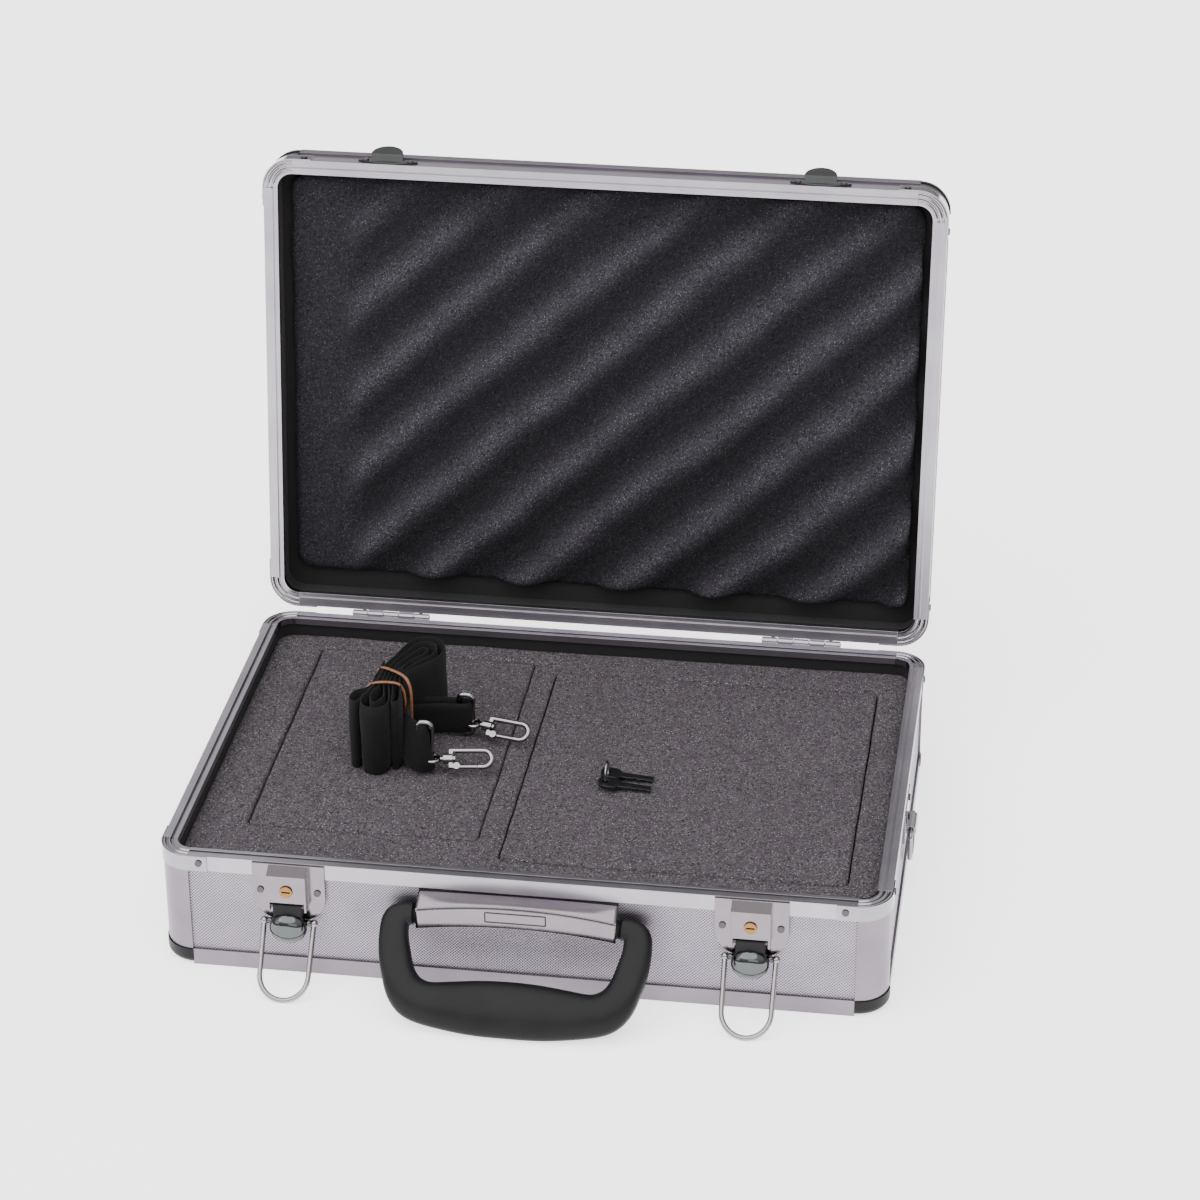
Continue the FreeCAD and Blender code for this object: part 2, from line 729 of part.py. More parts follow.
def bail_shape(centre):
    """Wire loop hanging from the lever, its ends turned in, leaning forward to the ground."""
    reach = float(bail_reach)
    flare = 11.6
    leg = 11.9
    spots = [(-6.4, 0), (-leg, 0), (-flare, reach - flare)]
    start = [vector(x, 0, -drop) for x, drop in spots]
    radius = 1.6
    turn_start = start[1] + vector(radius, 0, 0)
    down = (start[2] - start[1]).normalize()
    turn_end = start[1] + down * radius
    middle = start[1] + (vector(1, 0, 0) + down).normalize() * (radius * (math.sqrt(2) - 1))
    tip = vector(0, 0, -reach)

    def mirrored(point):
        return vector(-point.x, point.y, point.z)

    edges = [
        Part.LineSegment(start[0], turn_start).toShape(),
        Part.Arc(turn_start, middle, turn_end).toShape(),
        Part.LineSegment(turn_end, start[2]).toShape(),
        Part.Arc(start[2], tip, mirrored(start[2])).toShape(),
        Part.LineSegment(mirrored(start[2]), mirrored(turn_end)).toShape(),
        Part.Arc(mirrored(turn_end), mirrored(middle), mirrored(turn_start)).toShape(),
        Part.LineSegment(mirrored(turn_start), mirrored(start[0])).toShape(),
    ]
    loop = round_wire(Part.Wire(edges), float(bail_wire))
    for side in (-1, 1):
        loop = loop.fuse(Part.makeSphere(1.9, vector(side * leg, 0, 0)))
    loop.rotate(vector(0, 0, 0), vector(1, 0, 0), -float(bail_lean))
    loop.translate(vector(centre, front - bail_pin_y, bail_pin_z))
    return loop


def catch_hook(name, centre):
    """Riveted plate on the lid's rim with a shelf and a tongue that the bail slips behind."""
    root = lid_bottom + 4.1
    leaf_half = as_size(15.2)
    leaf_round = as_size(36.7)
    leaf = [
        (centre + leaf_half, root, leaf_round, 1),
        (centre - leaf_half, root, leaf_round, 1),
    ]
    plate = prism(name + "_plate", leaf, front - sheet_metal, front, "XZ_Plane")
    shelf = box(name + "_shelf", (centre - 8, centre + 8), (front - 5.2, front - sheet_metal / 2),
                (root - 2.4, root - 0.6))
    tongue_outline = [
        (centre - 8, root - 2.4),
        (centre + 8, root - 2.4),
        (centre + 8, root - 1.2),
        (centre - 8, root - 1.2, 8.05, 1),
    ]
    tongue = prism(name + "_tongue", tongue_outline, front - 5.2, front - 4.2, "XZ_Plane")
    flared = doc.addObject("Part::Compound", name + "_flared")
    flared.Links = [tongue]
    flared.Placement = about_x(front - 4.2, root - 2.4, 14)
    return fuse(name, plate, shelf, flared)


lever_pins = []
catch_hooks = []
for name, side in sides.items():
    centre = latch_place * side
    sub_part(f"latch_plate_{name}", [latch_plate(f"{name}_latch_plate", centre)])
    sub_part(f"lock_cylinder_{name}", [lock_cylinder(f"{name}_lock", centre)])
    sub_part(f"latch_lever_{name}", [latch_lever(f"{name}_lever", centre)])
    sub_part(f"latch_bail_{name}", [solid_feature(f"{name}_bail", bail_shape(centre))])
    lever_pins.append(cylinder(f"{name}_lever_pin", "x", 1.0,
                               (centre - housing_half, front - lever_pin_y, lever_pin_z),
                               housing_half * 2))
    catch_hooks.append(catch_hook(f"{name}_catch", centre))
sub_part("lever_pins", lever_pins)
sub_part("catch_hooks", catch_hooks, lid_open)


# ---------------------------------------------------------------- handle

pivot_y = front - handle_pin_y


def handle_bracket_shape():
    """Arched chrome cover: a face, a shoulder back to the wall and two inner pin tabs."""
    half = float(bracket_half)
    metal = 0.9
    board = float(front + skin)
    face_y = float(pivot_y) - 6.0
    ends = (36.6, 47.4)
    middle = (40.4, 51.6)
    shoulder_z = 52.4

    def slab(y_near, y_far, z_low_end, z_low_mid, z_high_end, z_high_mid):
        low = [vector(half, y_near, z_low_end), vector(0, y_near, z_low_mid),
               vector(-half, y_near, z_low_end)]
        high = [vector(-half, y_near, z_high_end), vector(0, y_near, z_high_mid),
                vector(half, y_near, z_high_end)]
        wire = Part.Wire([
            Part.Arc(*low).toShape(),
            Part.LineSegment(low[2], high[0]).toShape(),
            Part.Arc(*high).toShape(),
            Part.LineSegment(high[2], low[0]).toShape(),
        ])
        return Part.Face(wire).extrude(vector(0, y_far - y_near, 0))

    face = slab(face_y, face_y + metal, ends[0], middle[0], ends[1], middle[1])
    shoulder_low = Part.Wire([
        Part.Arc(vector(-half, face_y, ends[1]), vector(0, face_y, middle[1]),
                 vector(half, face_y, ends[1])).toShape()])
    shoulder_high = Part.Wire([
        Part.LineSegment(vector(-half, board, shoulder_z), vector(half, board, shoulder_z)).toShape()])
    skin_face = Part.makeRuledSurface(shoulder_low.Edges[0], shoulder_high.Edges[0])
    shoulder = skin_face.extrude(vector(0, 0, -metal))
    blank = face.fuse(shoulder)
    for side in (-1, 1):
        tab = Part.makeBox(1.5, board - face_y - metal, 8.0,
                           vector(side * 37 - 0.75, face_y + metal, 37.6))
        foot = Part.makeBox(8, 1.0, 8.0, vector(side * 33 - 4, board - 1.0, 37.6))
        blank = blank.fuse([tab, foot])
        bore = Part.makeCylinder(2.0, 4, vector(side * 37 - 2, pivot_y, handle_pin_z),
                                 vector(1, 0, 0))
        hole = Part.makeCylinder(1.55, 4, vector(side * 32, board - 3, 40.8), vector(0, 1, 0))
        blank = blank.cut(bore).cut(hole)
    emboss = Part.makeBox(29, 0.45, 5.6, vector(-14.5, face_y - 0.3, 43.6))
    inner = Part.makeBox(27.4, 0.6, 4.0, vector(-13.7, face_y - 0.4, 44.4))
    return blank.fuse(emboss).cut(inner).removeSplitter()


def handle_grip_shape():
    """C-shaped moulded handle, flat at first with its pivot on X, then leaned forward."""
    half = float(handle_half)
    drop = float(handle_drop)
    stub = 5.0
    inner_x = half - 13.3
    outer = [
        vector(inner_x - 1.5, 0, stub), vector(half - 10, 0, stub),
        vector(half, 0, stub - 13), vector(half - 1, 0, -20),
        vector(43, 0, -49.5), vector(0, 0, -drop),
    ]
    top_mid = vector(half - 2.6, 0, stub - 4.4)
    low_mid = vector(half - 6.6, 0, -38.0)

    def mirrored(point):
        return vector(-point.x, point.y, point.z)

    inner = [vector(inner_x - 1.5, 0, -stub), vector(inner_x, 0, -stub),
             vector(inner_x - 3.7, 0, -21), vector(inner_x - 14, 0, -31.2), vector(0, 0, -29.4)]
    inner_mid = vector(inner_x - 6.6, 0, -28.4)

    def line(a, b):
        return Part.LineSegment(a, b).toShape()

    def arc(a, b, c):
        return Part.Arc(a, b, c).toShape()

    right = [line(outer[0], outer[1]), arc(outer[1], top_mid, outer[2]), line(outer[2], outer[3]),
             arc(outer[3], low_mid, outer[4])]
    bottom = arc(outer[4], outer[5], mirrored(outer[4]))
    left = [arc(mirrored(outer[4]), mirrored(low_mid), mirrored(outer[3])),
            line(mirrored(outer[3]), mirrored(outer[2])),
            arc(mirrored(outer[2]), mirrored(top_mid), mirrored(outer[1])),
            line(mirrored(outer[1]), mirrored(outer[0])),
            line(mirrored(outer[0]), mirrored(inner[0])),
            line(mirrored(inner[0]), mirrored(inner[1])),
            line(mirrored(inner[1]), mirrored(inner[2])),
            arc(mirrored(inner[2]), mirrored(inner_mid), mirrored(inner[3]))]
    gap = arc(mirrored(inner[3]), inner[4], inner[3])
    close = [arc(inner[3], inner_mid, inner[2]), line(inner[2], inner[1]),
             line(inner[1], inner[0]), line(inner[0], outer[0])]
    face = Part.Face(Part.Wire(right + [bottom] + left + [gap] + close))
    thick = float(handle_thick)
    blank = face.extrude(vector(0, thick, 0))
    blank.translate(vector(0, -thick / 2, 0))
    arm = float(arm_thick) / 2
    rear_edge = [(arm, 0), (arm, -22), (thick / 2, -34), (thick / 2, -43),
                 (5.6, -49), (3.2, -53), (0.5, -56)]
    edge = [vector(-80, y, z) for y, z in rear_edge]
    front_edge = [vector(-80, -point.y, point.z) for point in reversed(edge)]
    crown = Part.Arc(front_edge[-1], vector(-80, 0, arm), edge[0]).toShape()
    side_outline = Part.Wire(Part.makePolygon(edge + front_edge).Edges + [crown])
    thickness_form = Part.Face(side_outline).extrude(vector(160, 0, 0))
    grip = blank.common(thickness_form)
    for side in (-1, 1):
        boss = Part.makeCylinder(4.6, inner_x - 38.4, vector(38.4, 0, 0), vector(1, 0, 0))
        bore = Part.makeCylinder(2.06, 12, vector(38, 0, 0), vector(1, 0, 0))
        if side < 0:
            turn = FreeCAD.Rotation(vector(0, 0, 1), 180)
            boss.Placement = FreeCAD.Placement(vector(0, 0, 0), turn)
            bore.Placement = FreeCAD.Placement(vector(0, 0, 0), turn)
        grip = grip.fuse(boss).cut(bore)
    grip = grip.removeSplitter()
    grip.rotate(vector(0, 0, 0), vector(1, 0, 0), -float(handle_lean))
    grip.translate(vector(0, pivot_y, handle_pin_z))
    return grip


sub_part("handle_bracket", [solid_feature("handle_cover", handle_bracket_shape())])
sub_part("handle_grip", [solid_feature("handle_moulding", handle_grip_shape())])
pins = []
bolts = []
for name, side in sides.items():
    start = 36.0 if side > 0 else -49.0
    pins.append(cylinder(f"handle_pin_{name}", "x", 2.0, (start, pivot_y, handle_pin_z), 13))
    shank = cylinder(f"handle_bolt_{name}_shank", "y", bolt_round,
                     (side * 32, front + 0.1, 40.8), as_size(5.0))
    head = cylinder(f"handle_bolt_{name}_head", "y", 2.6,
                    (side * 32, front - 1.0, 40.8), as_size(1.2))
    bolts.append(fuse(f"handle_bolt_{name}", shank, head))
sub_part("handle_pins", pins)
sub_part("handle_bolts", bolts)


# ---------------------------------------------------------------- strap rings on the ends

ring_x = half_width + 2.4
ring_z = as_size(32.8)


def lug_plate(name, side):
    """Plate on the end wall with a short barrel for the ring."""
    def span(near, far):
        return (near * side, far * side) if side > 0 else (far * side, near * side)

    board = half_width - skin
    plate = box(name + "_plate", span(board, half_width), (as_size(-15), as_size(15)),
                (as_size(30), as_size(46)))
    barrel = cylinder(name + "_barrel", "y", 2.6, (ring_x * side, as_size(-7), ring_z), as_size(14))
    bridge = box(name + "_bridge", span(half_width - 0.2, ring_x), (as_size(-7), as_size(7)),
                 (ring_z - 1, ring_z + 2.6))
    bore = cylinder(name + "_bore", "y", 1.34, (ring_x * side, as_size(-8), ring_z), as_size(16))
    return cut(name, fuse(name + "_blank", plate, barrel, bridge), bore)


def d_ring_shape(side):
    """Closed ring: a straight bar in the barrel and a bow below it."""
    bar = 11.5
    drop = 18.0
    bend = 2.2
    shoulder = 7.0
    middle = bend * (1 - 1 / math.sqrt(2))

    def half_bow(end):
        """Bar end, its bend and the straight run down one side, from the bar's middle."""
        return [
            Part.LineSegment(vector(0, 0, 0), vector(0, end * (bar - bend), 0)).toShape(),
            Part.Arc(vector(0, end * (bar - bend), 0), vector(0, end * (bar - middle), -middle),
                     vector(0, end * bar, -bend)).toShape(),
            Part.LineSegment(vector(0, end * bar, -bend),
                             vector(0, end * bar, -shoulder)).toShape(),
        ]

    right = half_bow(1)
    left = [edge for edge in reversed(half_bow(-1))]
    bow = [Part.Arc(vector(0, bar, -shoulder), vector(0, 0, -drop),
                    vector(0, -bar, -shoulder)).toShape()]
    ring = round_wire(Part.Wire(right + bow + left), 1.25)
    ring.translate(vector(ring_x * side, 0, ring_z))
    return ring


lugs = []
for name, side in sides.items():
    lugs.append(lug_plate(f"strap_lug_{name}", side))
    sub_part(f"d_ring_{name}", [solid_feature(f"{name}_d_ring", d_ring_shape(side))])
sub_part("strap_lug_plates", lugs)


# ---------------------------------------------------------------- rivets

rivet_round = as_size(1.7)
rivet_proud = as_size(0.6)


def rivet(name, axis, sign, x, y, z):
    """Rivet head standing on a surface; sign is the way it faces along its axis."""
    start = {"x": x, "y": y, "z": z}
    if sign < 0:
        start[axis] = start[axis] - rivet_proud
    return cylinder(name, axis, rivet_round, (start["x"], start["y"], start["z"]), rivet_proud)


def rim_cap_rivets(prefix, z):
    """One rivet in each tab of the chrome rim caps."""
    rivets = []
    along_x = half_width - corner_round - 5.5
    along_y = half_depth - corner_round - 5.5
    for x_side in (-1, 1):
        for y_side in (-1, 1):
            tag = f"{prefix}_cap_rivet_{x_side + 1}{y_side + 1}"
            rivets.append(rivet(tag + "y", "y", y_side, along_x * x_side,
                                (half_depth + cap_thick) * y_side, z))
            rivets.append(rivet(tag + "x", "x", x_side, (half_width + cap_thick) * x_side,
                                along_y * y_side, z))
    return rivets


base_rivets = rim_cap_rivets("base", base_height - 3.6)
lid_rivets = rim_cap_rivets("lid", lid_bottom + 3.6)
for name, side in sides.items():
    for end in (-1, 1):
        spot = latch_place * side + end * 13.6
        base_rivets.append(rivet(f"latch_rivet_{name}{end + 1}", "y", -1, spot,
                                 front - sheet_metal, as_size(46)))
        spot = latch_place * side + end * 11.4
        lid_rivets.append(rivet(f"catch_rivet_{name}{end + 1}", "y", -1, spot,
                                front - sheet_metal, lid_bottom + 4.1))
        spot = hinge_place * side + end * 15
        base_rivets.append(rivet(f"hinge_rivet_{name}{end + 1}", "y", 1, spot,
                                 half_depth + 0.9, hinge_z - 5.0))
        lid_rivets.append(rivet(f"hinge_lid_rivet_{name}{end + 1}", "y", 1, spot,
                                half_depth + 0.9, hinge_z + 5.0))
        base_rivets.append(rivet(f"lug_rivet_{name}{end + 1}", "x", side, half_width * side,
                                 as_size(end * 11), as_size(41)))
sub_part("base_rivets", base_rivets)
sub_part("lid_rivets", lid_rivets, lid_open)


# ---------------------------------------------------------------- shoulder strap bundle

strap_low = foam_top + 0.3
strap_high = strap_low + webbing_width
ring_wire = 1.5
ring_tall = 25.0
ring_wide = 7.0
ring_bend = 3.4
ring_middle = 66.5
ring_places = {"front": vector(-64, -14, ring_middle), "rear": vector(-50, 22.5, ring_middle)}


def strap_ring_path(centre):
    """Upright oblong loop in the plane of the strap's end, its corners rounded."""
    wide = ring_wide / 2
    tall = ring_tall / 2
    corner = ring_bend * (1 - 1 / math.sqrt(2))
    edges = []
    spots = []
    for x_side, z_side in ((1, 1), (-1, 1), (-1, -1), (1, -1)):
        upright = vector(x_side * wide, 0, z_side * (tall - ring_bend))
        level = vector(x_side * (wide - ring_bend), 0, z_side * tall)
        between = vector(x_side * (wide - corner), 0, z_side * (tall - corner))
        first, last = (upright, level) if x_side * z_side > 0 else (level, upright)
        spots.append((first, between, last))
    for number, (first, between, last) in enumerate(spots):
        edges.append(Part.Arc(first, between, last).toShape())
        following = spots[(number + 1) % 4][0]
        if (following - last).Length > 1e-6:
            edges.append(Part.LineSegment(last, following).toShape())
    path = Part.Wire(edges)
    path.translate(centre)
    return path


lobes = [
    prism("strap_front_lobe", rounded_rectangle((as_size(-101), as_size(-76)),
                                                (as_size(-20), as_size(16)), as_size(8)),
          strap_low, strap_high),
    prism("strap_rear_lobe", rounded_rectangle((as_size(-88), as_size(-64)),
                                               (as_size(29), as_size(53)), as_size(8)),
          strap_low, strap_high),
    box("strap_waist", (as_size(-93), as_size(-75)), (as_size(10), as_size(35)),
        (strap_low + 1.5, strap_high - 1.5)),
    box("strap_front_tail", (as_size(-80), as_size(-65)), (as_size(-16.5), as_size(-11.5)),
        (as_size(ring_middle - 9), as_size(ring_middle + 9))),
    box("strap_rear_tail", (as_size(-78), as_size(-51)), (as_size(20.8), as_size(24.8)),
        (as_size(ring_middle - 9), as_size(ring_middle + 9))),
]
ring_clearance = [
    solid_feature(f"strap_ring_clearance_{name}", round_wire(strap_ring_path(spot), ring_wire + 0.15))
    for name, spot in ring_places.items()
]
sub_part("strap_webbing", [cut("strap_cut", fuse("strap_folds", *lobes),
                               fuse("strap_clearances", *ring_clearance))])
sub_part("strap_rings", [
    solid_feature(f"strap_ring_{name}", round_wire(strap_ring_path(spot), ring_wire))
    for name, spot in ring_places.items()
])

bands = []
for number, y in enumerate((18.5, 25.0)):
    outside = box(f"band_{number}_outside", (as_size(-94), as_size(-74)),
                  (as_size(y), as_size(y + 2)), (strap_low + 0.5, strap_high - 0.5))
    inside = box(f"band_{number}_inside", (as_size(-93), as_size(-75)),
                 (as_size(y - 1), as_size(y + 3)), (strap_low + 1.5, strap_high - 1.5))
    bands.append(cut(f"band_{number}", outside, inside))
sub_part("rubber_band", bands)


# ---------------------------------------------------------------- swivel snap hooks

hook_wire = 1.3
hook_half = 4.2
hook_far = 25.0
yoke_x = 10.0
hook_tilt = 40
hook_height = 58.5


def hook_placement(name):
    """Hook's own frame: from the eye's centre on the ring outwards along +X."""
    heading = {"front": 8, "rear": -12}[name]
    ring = ring_places[name]
    eye = vector(ring.x + ring_wide / 2, ring.y, hook_height)
    turn = FreeCAD.Rotation(FreeCAD.Vector(0, 0, 1), heading)
    return FreeCAD.Placement(eye, turn)


def tilted(name):
    spot = hook_placement(name)
    roll = FreeCAD.Rotation(FreeCAD.Vector(1, 0, 0), hook_tilt)
    return spot.multiply(FreeCAD.Placement(FreeCAD.Vector(), roll))


def swivel_eye_shape():
    """Ring around the strap's loop with the headed post that the hook turns on."""
    eye = Part.makeTorus(3.2, 1.0)
    post = Part.makeCylinder(1.1, 7.0, vector(3.9, 0, 0), vector(1, 0, 0))
    head = Part.makeCylinder(1.8, 0.9, vector(10.4, 0, 0), vector(1, 0, 0))
    return eye.fuse([post, head])


def snap_hook_shape():
    """Barrel on the post, a yoke and the bent wire whose nose the gate closes on."""
    barrel = Part.makeCylinder(2.6, 4.6, vector(5.4, 0, 0), vector(1, 0, 0))
    yoke = Part.makeBox(1.8, 2 * hook_half, 2.4, vector(yoke_x - 1.8, -hook_half, -1.2))
    ears = [Part.makeCylinder(1.2, 1.8, vector(yoke_x - 1.8, side * hook_half, 0),
                              vector(1, 0, 0)) for side in (-1, 1)]
    cheek = Part.makeCylinder(1.7, 0.7, vector(yoke_x + 2.0, -hook_half, 1.35), vector(0, 0, 1))
    cheek_arm = Part.makeBox(3.4, 2.0, 0.7, vector(yoke_x - 1.2, -hook_half - 1.0, 1.35))
    riser = Part.makeBox(1.0, 2.0, 1.2, vector(yoke_x - 1.2, -hook_half - 1.0, 0.5))
    path = Part.Wire([
        Part.LineSegment(vector(yoke_x - 1.0, hook_half, 0),
                         vector(hook_far, hook_half, 0)).toShape(),
        Part.Arc(vector(hook_far, hook_half, 0), vector(hook_far + hook_half, 0, 0),
                 vector(hook_far, -hook_half, 0)).toShape(),
        Part.LineSegment(vector(hook_far, -hook_half, 0),
                         vector(hook_far - 2.5, -hook_half, 0)).toShape(),
    ])
    wire = round_wire(path, hook_wire)
    blank = barrel.fuse([yoke, wire, cheek, cheek_arm, riser] + ears)
    bore = Part.makeCylinder(1.16, 6, vector(5, 0, 0), vector(1, 0, 0))
    pin_hole = Part.makeCylinder(0.5, 3, vector(yoke_x + 2.0, -hook_half, 0.5), vector(0, 0, 1))
    return blank.cut(bore).cut(pin_hole)


def hook_gate_shape():
    """Sprung bar pinned beside the yoke that closes against the hook's nose."""
    start = yoke_x + 2.0
    bar = Part.makeCylinder(1.0, hook_far - 2.7 - start, vector(start, -hook_half, 0),
                            vector(1, 0, 0))
    eye = Part.makeCylinder(1.2, 2.2, vector(start, -hook_half, -1.1), vector(0, 0, 1))
    pin = Part.makeCylinder(0.48, 2.0, vector(start, -hook_half, 0), vector(0, 0, 1))
    return bar.fuse([eye, pin])


eyes = []
for name in ring_places:
    eye = solid_feature(f"swivel_eye_{name}", swivel_eye_shape())
    eye.Placement = hook_placement(name)
    eyes.append(eye)
    hook = solid_feature(f"{name}_hook", snap_hook_shape())
    hook.Placement = tilted(name)
    sub_part(f"snap_hook_{name}", [hook])
    gate = solid_feature(f"{name}_gate", hook_gate_shape())
    gate.Placement = tilted(name)
    sub_part(f"hook_gate_{name}", [gate])
sub_part("swivel_eyes", eyes)


# ---------------------------------------------------------------- keys

key_ring_round = 5.5
key_spacing = 9.0
key_middle = 54.45
key_x = 26.0
key_y = -13.5


def key_shape(y, wards):
    """Small flat key: a round plastic head with a hole and a notched blade."""
    thick = 1.8
    head = Part.makeCylinder(5.2, thick, vector(1.6, 0, -thick / 2), vector(0, 0, 1))
    head = head.cut(Part.makeBox(12, 12, 4, vector(-6, key_spacing / 2 - 0.15, -2)))
    head = head.cut(Part.makeBox(12, 12, 4, vector(-6, -12 - key_spacing / 2 + 0.15, -2)))
    blade = Part.makeBox(16.5, 4.2, 1.0, vector(6.0, -2.1, -0.5))
    for step in wards:
        blade = blade.cut(Part.makeBox(1.8, 1.2, 3, vector(step, -2.6, -1)))
    key = head.fuse(blade).cut(Part.makeCylinder(1.7, 6, vector(0, 0, -3), vector(0, 0, 1)))
    key.rotate(vector(0, 0, 0), vector(0, 1, 0), 5.0)
    key.translate(vector(key_x, y, key_middle))
    return key


keys = []
for number, wards in enumerate(((11, 15, 18.5), (12.5, 17, 20))):
    y = key_y + key_spacing * (number - 0.5)
    keys.append(solid_feature(f"key_{number}", key_shape(y, wards)))
sub_part("keys", keys)
ring_rise = math.sqrt(key_ring_round ** 2 - (key_spacing / 2) ** 2)
key_loop = Part.makeTorus(key_ring_round, 0.55, vector(key_x, key_y, key_middle + ring_rise),
                          vector(1, 0, 0))
sub_part("key_ring", [solid_feature("key_loop", key_loop)])


# ---------------------------------------------------------------- checks and files

doc.recompute()
os.makedirs("parts", exist_ok=True)
for thing in doc.Objects:
    faults = [word for word in ("Invalid", "Error") if word in thing.State]
    if faults:
        raise RuntimeError(f"{thing.Label}: {faults}")
for label, node in sub_parts.items():
    if node.Shape.isNull() or not node.Shape.isValid() or not node.Shape.Solids:
        raise RuntimeError(f"{label} has no valid shape")
for label, node in sub_parts.items():
    node.Shape.exportStep(f"parts/{label}.step")
    print(f"{label:22s} solids {len(node.Shape.Solids):3d} volume {node.Shape.Volume:10.1f}")
print(len(sub_parts), "sub-parts")
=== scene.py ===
import json
import math

import bmesh
import bpy
from mathutils import Matrix, Vector, noise


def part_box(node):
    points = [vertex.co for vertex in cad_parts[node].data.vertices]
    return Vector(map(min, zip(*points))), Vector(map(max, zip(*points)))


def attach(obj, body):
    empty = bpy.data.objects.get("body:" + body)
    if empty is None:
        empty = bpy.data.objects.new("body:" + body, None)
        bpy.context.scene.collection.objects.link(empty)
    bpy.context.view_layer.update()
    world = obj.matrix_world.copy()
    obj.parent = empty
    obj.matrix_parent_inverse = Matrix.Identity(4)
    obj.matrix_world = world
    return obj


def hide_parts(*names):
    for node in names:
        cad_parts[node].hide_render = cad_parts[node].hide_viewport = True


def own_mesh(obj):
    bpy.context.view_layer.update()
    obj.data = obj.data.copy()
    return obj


# Looks of the open aluminium carry case. Metres, in the frame of the CAD model:
# +Z up, the front with the handle faces -Y, origin at the centre of the underside.

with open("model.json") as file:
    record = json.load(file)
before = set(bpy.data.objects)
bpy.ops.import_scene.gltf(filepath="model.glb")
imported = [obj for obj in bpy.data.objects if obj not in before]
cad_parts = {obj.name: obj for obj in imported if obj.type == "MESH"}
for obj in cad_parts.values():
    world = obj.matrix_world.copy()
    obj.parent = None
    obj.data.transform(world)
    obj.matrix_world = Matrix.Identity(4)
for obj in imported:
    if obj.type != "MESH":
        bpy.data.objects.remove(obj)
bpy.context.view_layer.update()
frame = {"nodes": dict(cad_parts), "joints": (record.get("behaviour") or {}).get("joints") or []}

MM = 0.001
JOINTS = {joint["name"]: joint for joint in frame["joints"]}


# ---------------------------------------------------------------- node helpers

class Nodes:
    """Short way to write a material's node tree."""

    def __init__(self, name):
        self.material = bpy.data.materials.new(name)
        self.material.use_nodes = True
        self.tree = self.material.node_tree
        self.shader = self.tree.nodes["Principled BSDF"]
        self.place = self.add("ShaderNodeTexCoord").outputs["Object"]

    def add(self, kind, **settings):
        node = self.tree.nodes.new(kind)
        for key, value in settings.items():
            setattr(node, key, value)
        return node

    def link(self, source, target):
        self.tree.links.new(source, target)

    def put(self, target, value):
        if isinstance(value, bpy.types.NodeSocket):
            self.link(value, target)
        else:
            target.default_value = value

    def set(self, **values):
        """Set the shader's inputs by name, with _ for a space."""
        for key, value in values.items():
            self.put(self.shader.inputs[key.replace("_", " ")], value)

    def math(self, operation, first, second=0.0):
        node = self.add("ShaderNodeMath", operation=operation)
        self.put(node.inputs[0], first)
        self.put(node.inputs[1], second)
        return node.outputs[0]

    def along(self, direction):
        """Distance along a direction, in metres."""
        node = self.add("ShaderNodeVectorMath", operation="DOT_PRODUCT")
        self.link(self.place, node.inputs[0])
        node.inputs[1].default_value = direction
        return node.outputs["Value"]

    def stretched(self, scale):
        """Object coordinates scaled by three factors."""
        node = self.add("ShaderNodeVectorMath", operation="MULTIPLY")
        self.link(self.place, node.inputs[0])
        node.inputs[1].default_value = scale
        return node.outputs[0]

    def noise(self, size, detail=3.0, rough=0.5, place=None):
        """Noise between 0 and 1 whose lumps are about size metres across."""
        node = self.add("ShaderNodeTexNoise")
        self.link(place or self.place, node.inputs["Vector"])
        node.inputs["Scale"].default_value = 1 / size
        node.inputs["Detail"].default_value = detail
        node.inputs["Roughness"].default_value = rough
        return node.outputs["Fac"]

    def cells(self, size, feature="F1", output="Distance", place=None):
        node = self.add("ShaderNodeTexVoronoi", feature=feature)
        self.link(place or self.place, node.inputs["Vector"])
        node.inputs["Scale"].default_value = 1 / size
        return node.outputs[output]

    def span(self, value, low, high, from_low=0.0, from_high=1.0):
        """Map a value's range to another range."""
        node = self.add("ShaderNodeMapRange")
        self.link(value, node.inputs["Value"])
        node.inputs["From Min"].default_value = from_low
        node.inputs["From Max"].default_value = from_high
        node.inputs["To Min"].default_value = low
        node.inputs["To Max"].default_value = high
        return node.outputs["Result"]

    def ramp(self, value, *stops):
        """Colour ramp from (position, (r, g, b)) stops."""
        node = self.add("ShaderNodeValToRGB")
        self.link(value, node.inputs["Fac"])
        bar = node.color_ramp
        while len(bar.elements) < len(stops):
            bar.elements.new(0.5)
        for element, (position, color) in zip(bar.elements, stops):
            element.position = position
            element.color = (*color, 1)
        return node.outputs["Color"]

    def mix(self, share, first, second):
        node = self.add("ShaderNodeMix", data_type="RGBA")
        self.put(node.inputs["Factor"], share)
        for target, value in ((node.inputs[6], first), (node.inputs[7], second)):
            self.put(target, value if isinstance(value, bpy.types.NodeSocket) else (*value, 1))
        return node.outputs[2]

    def bump(self, *layers, edge=0.0):
        """Stack bumps of (height, depth in metres); edge is a rounded edge's radius."""
        normal = None
        if edge:
            bevel = self.add("ShaderNodeBevel", samples=6)
            bevel.inputs["Radius"].default_value = edge
            normal = bevel.outputs["Normal"]
        for height, depth in layers:
            node = self.add("ShaderNodeBump")
            node.inputs["Distance"].default_value = depth
            self.link(height, node.inputs["Height"])
            if normal is not None:
                self.link(normal, node.inputs["Normal"])
            normal = node.outputs["Normal"]
        self.link(normal, self.shader.inputs["Normal"])


# ---------------------------------------------------------------- materials

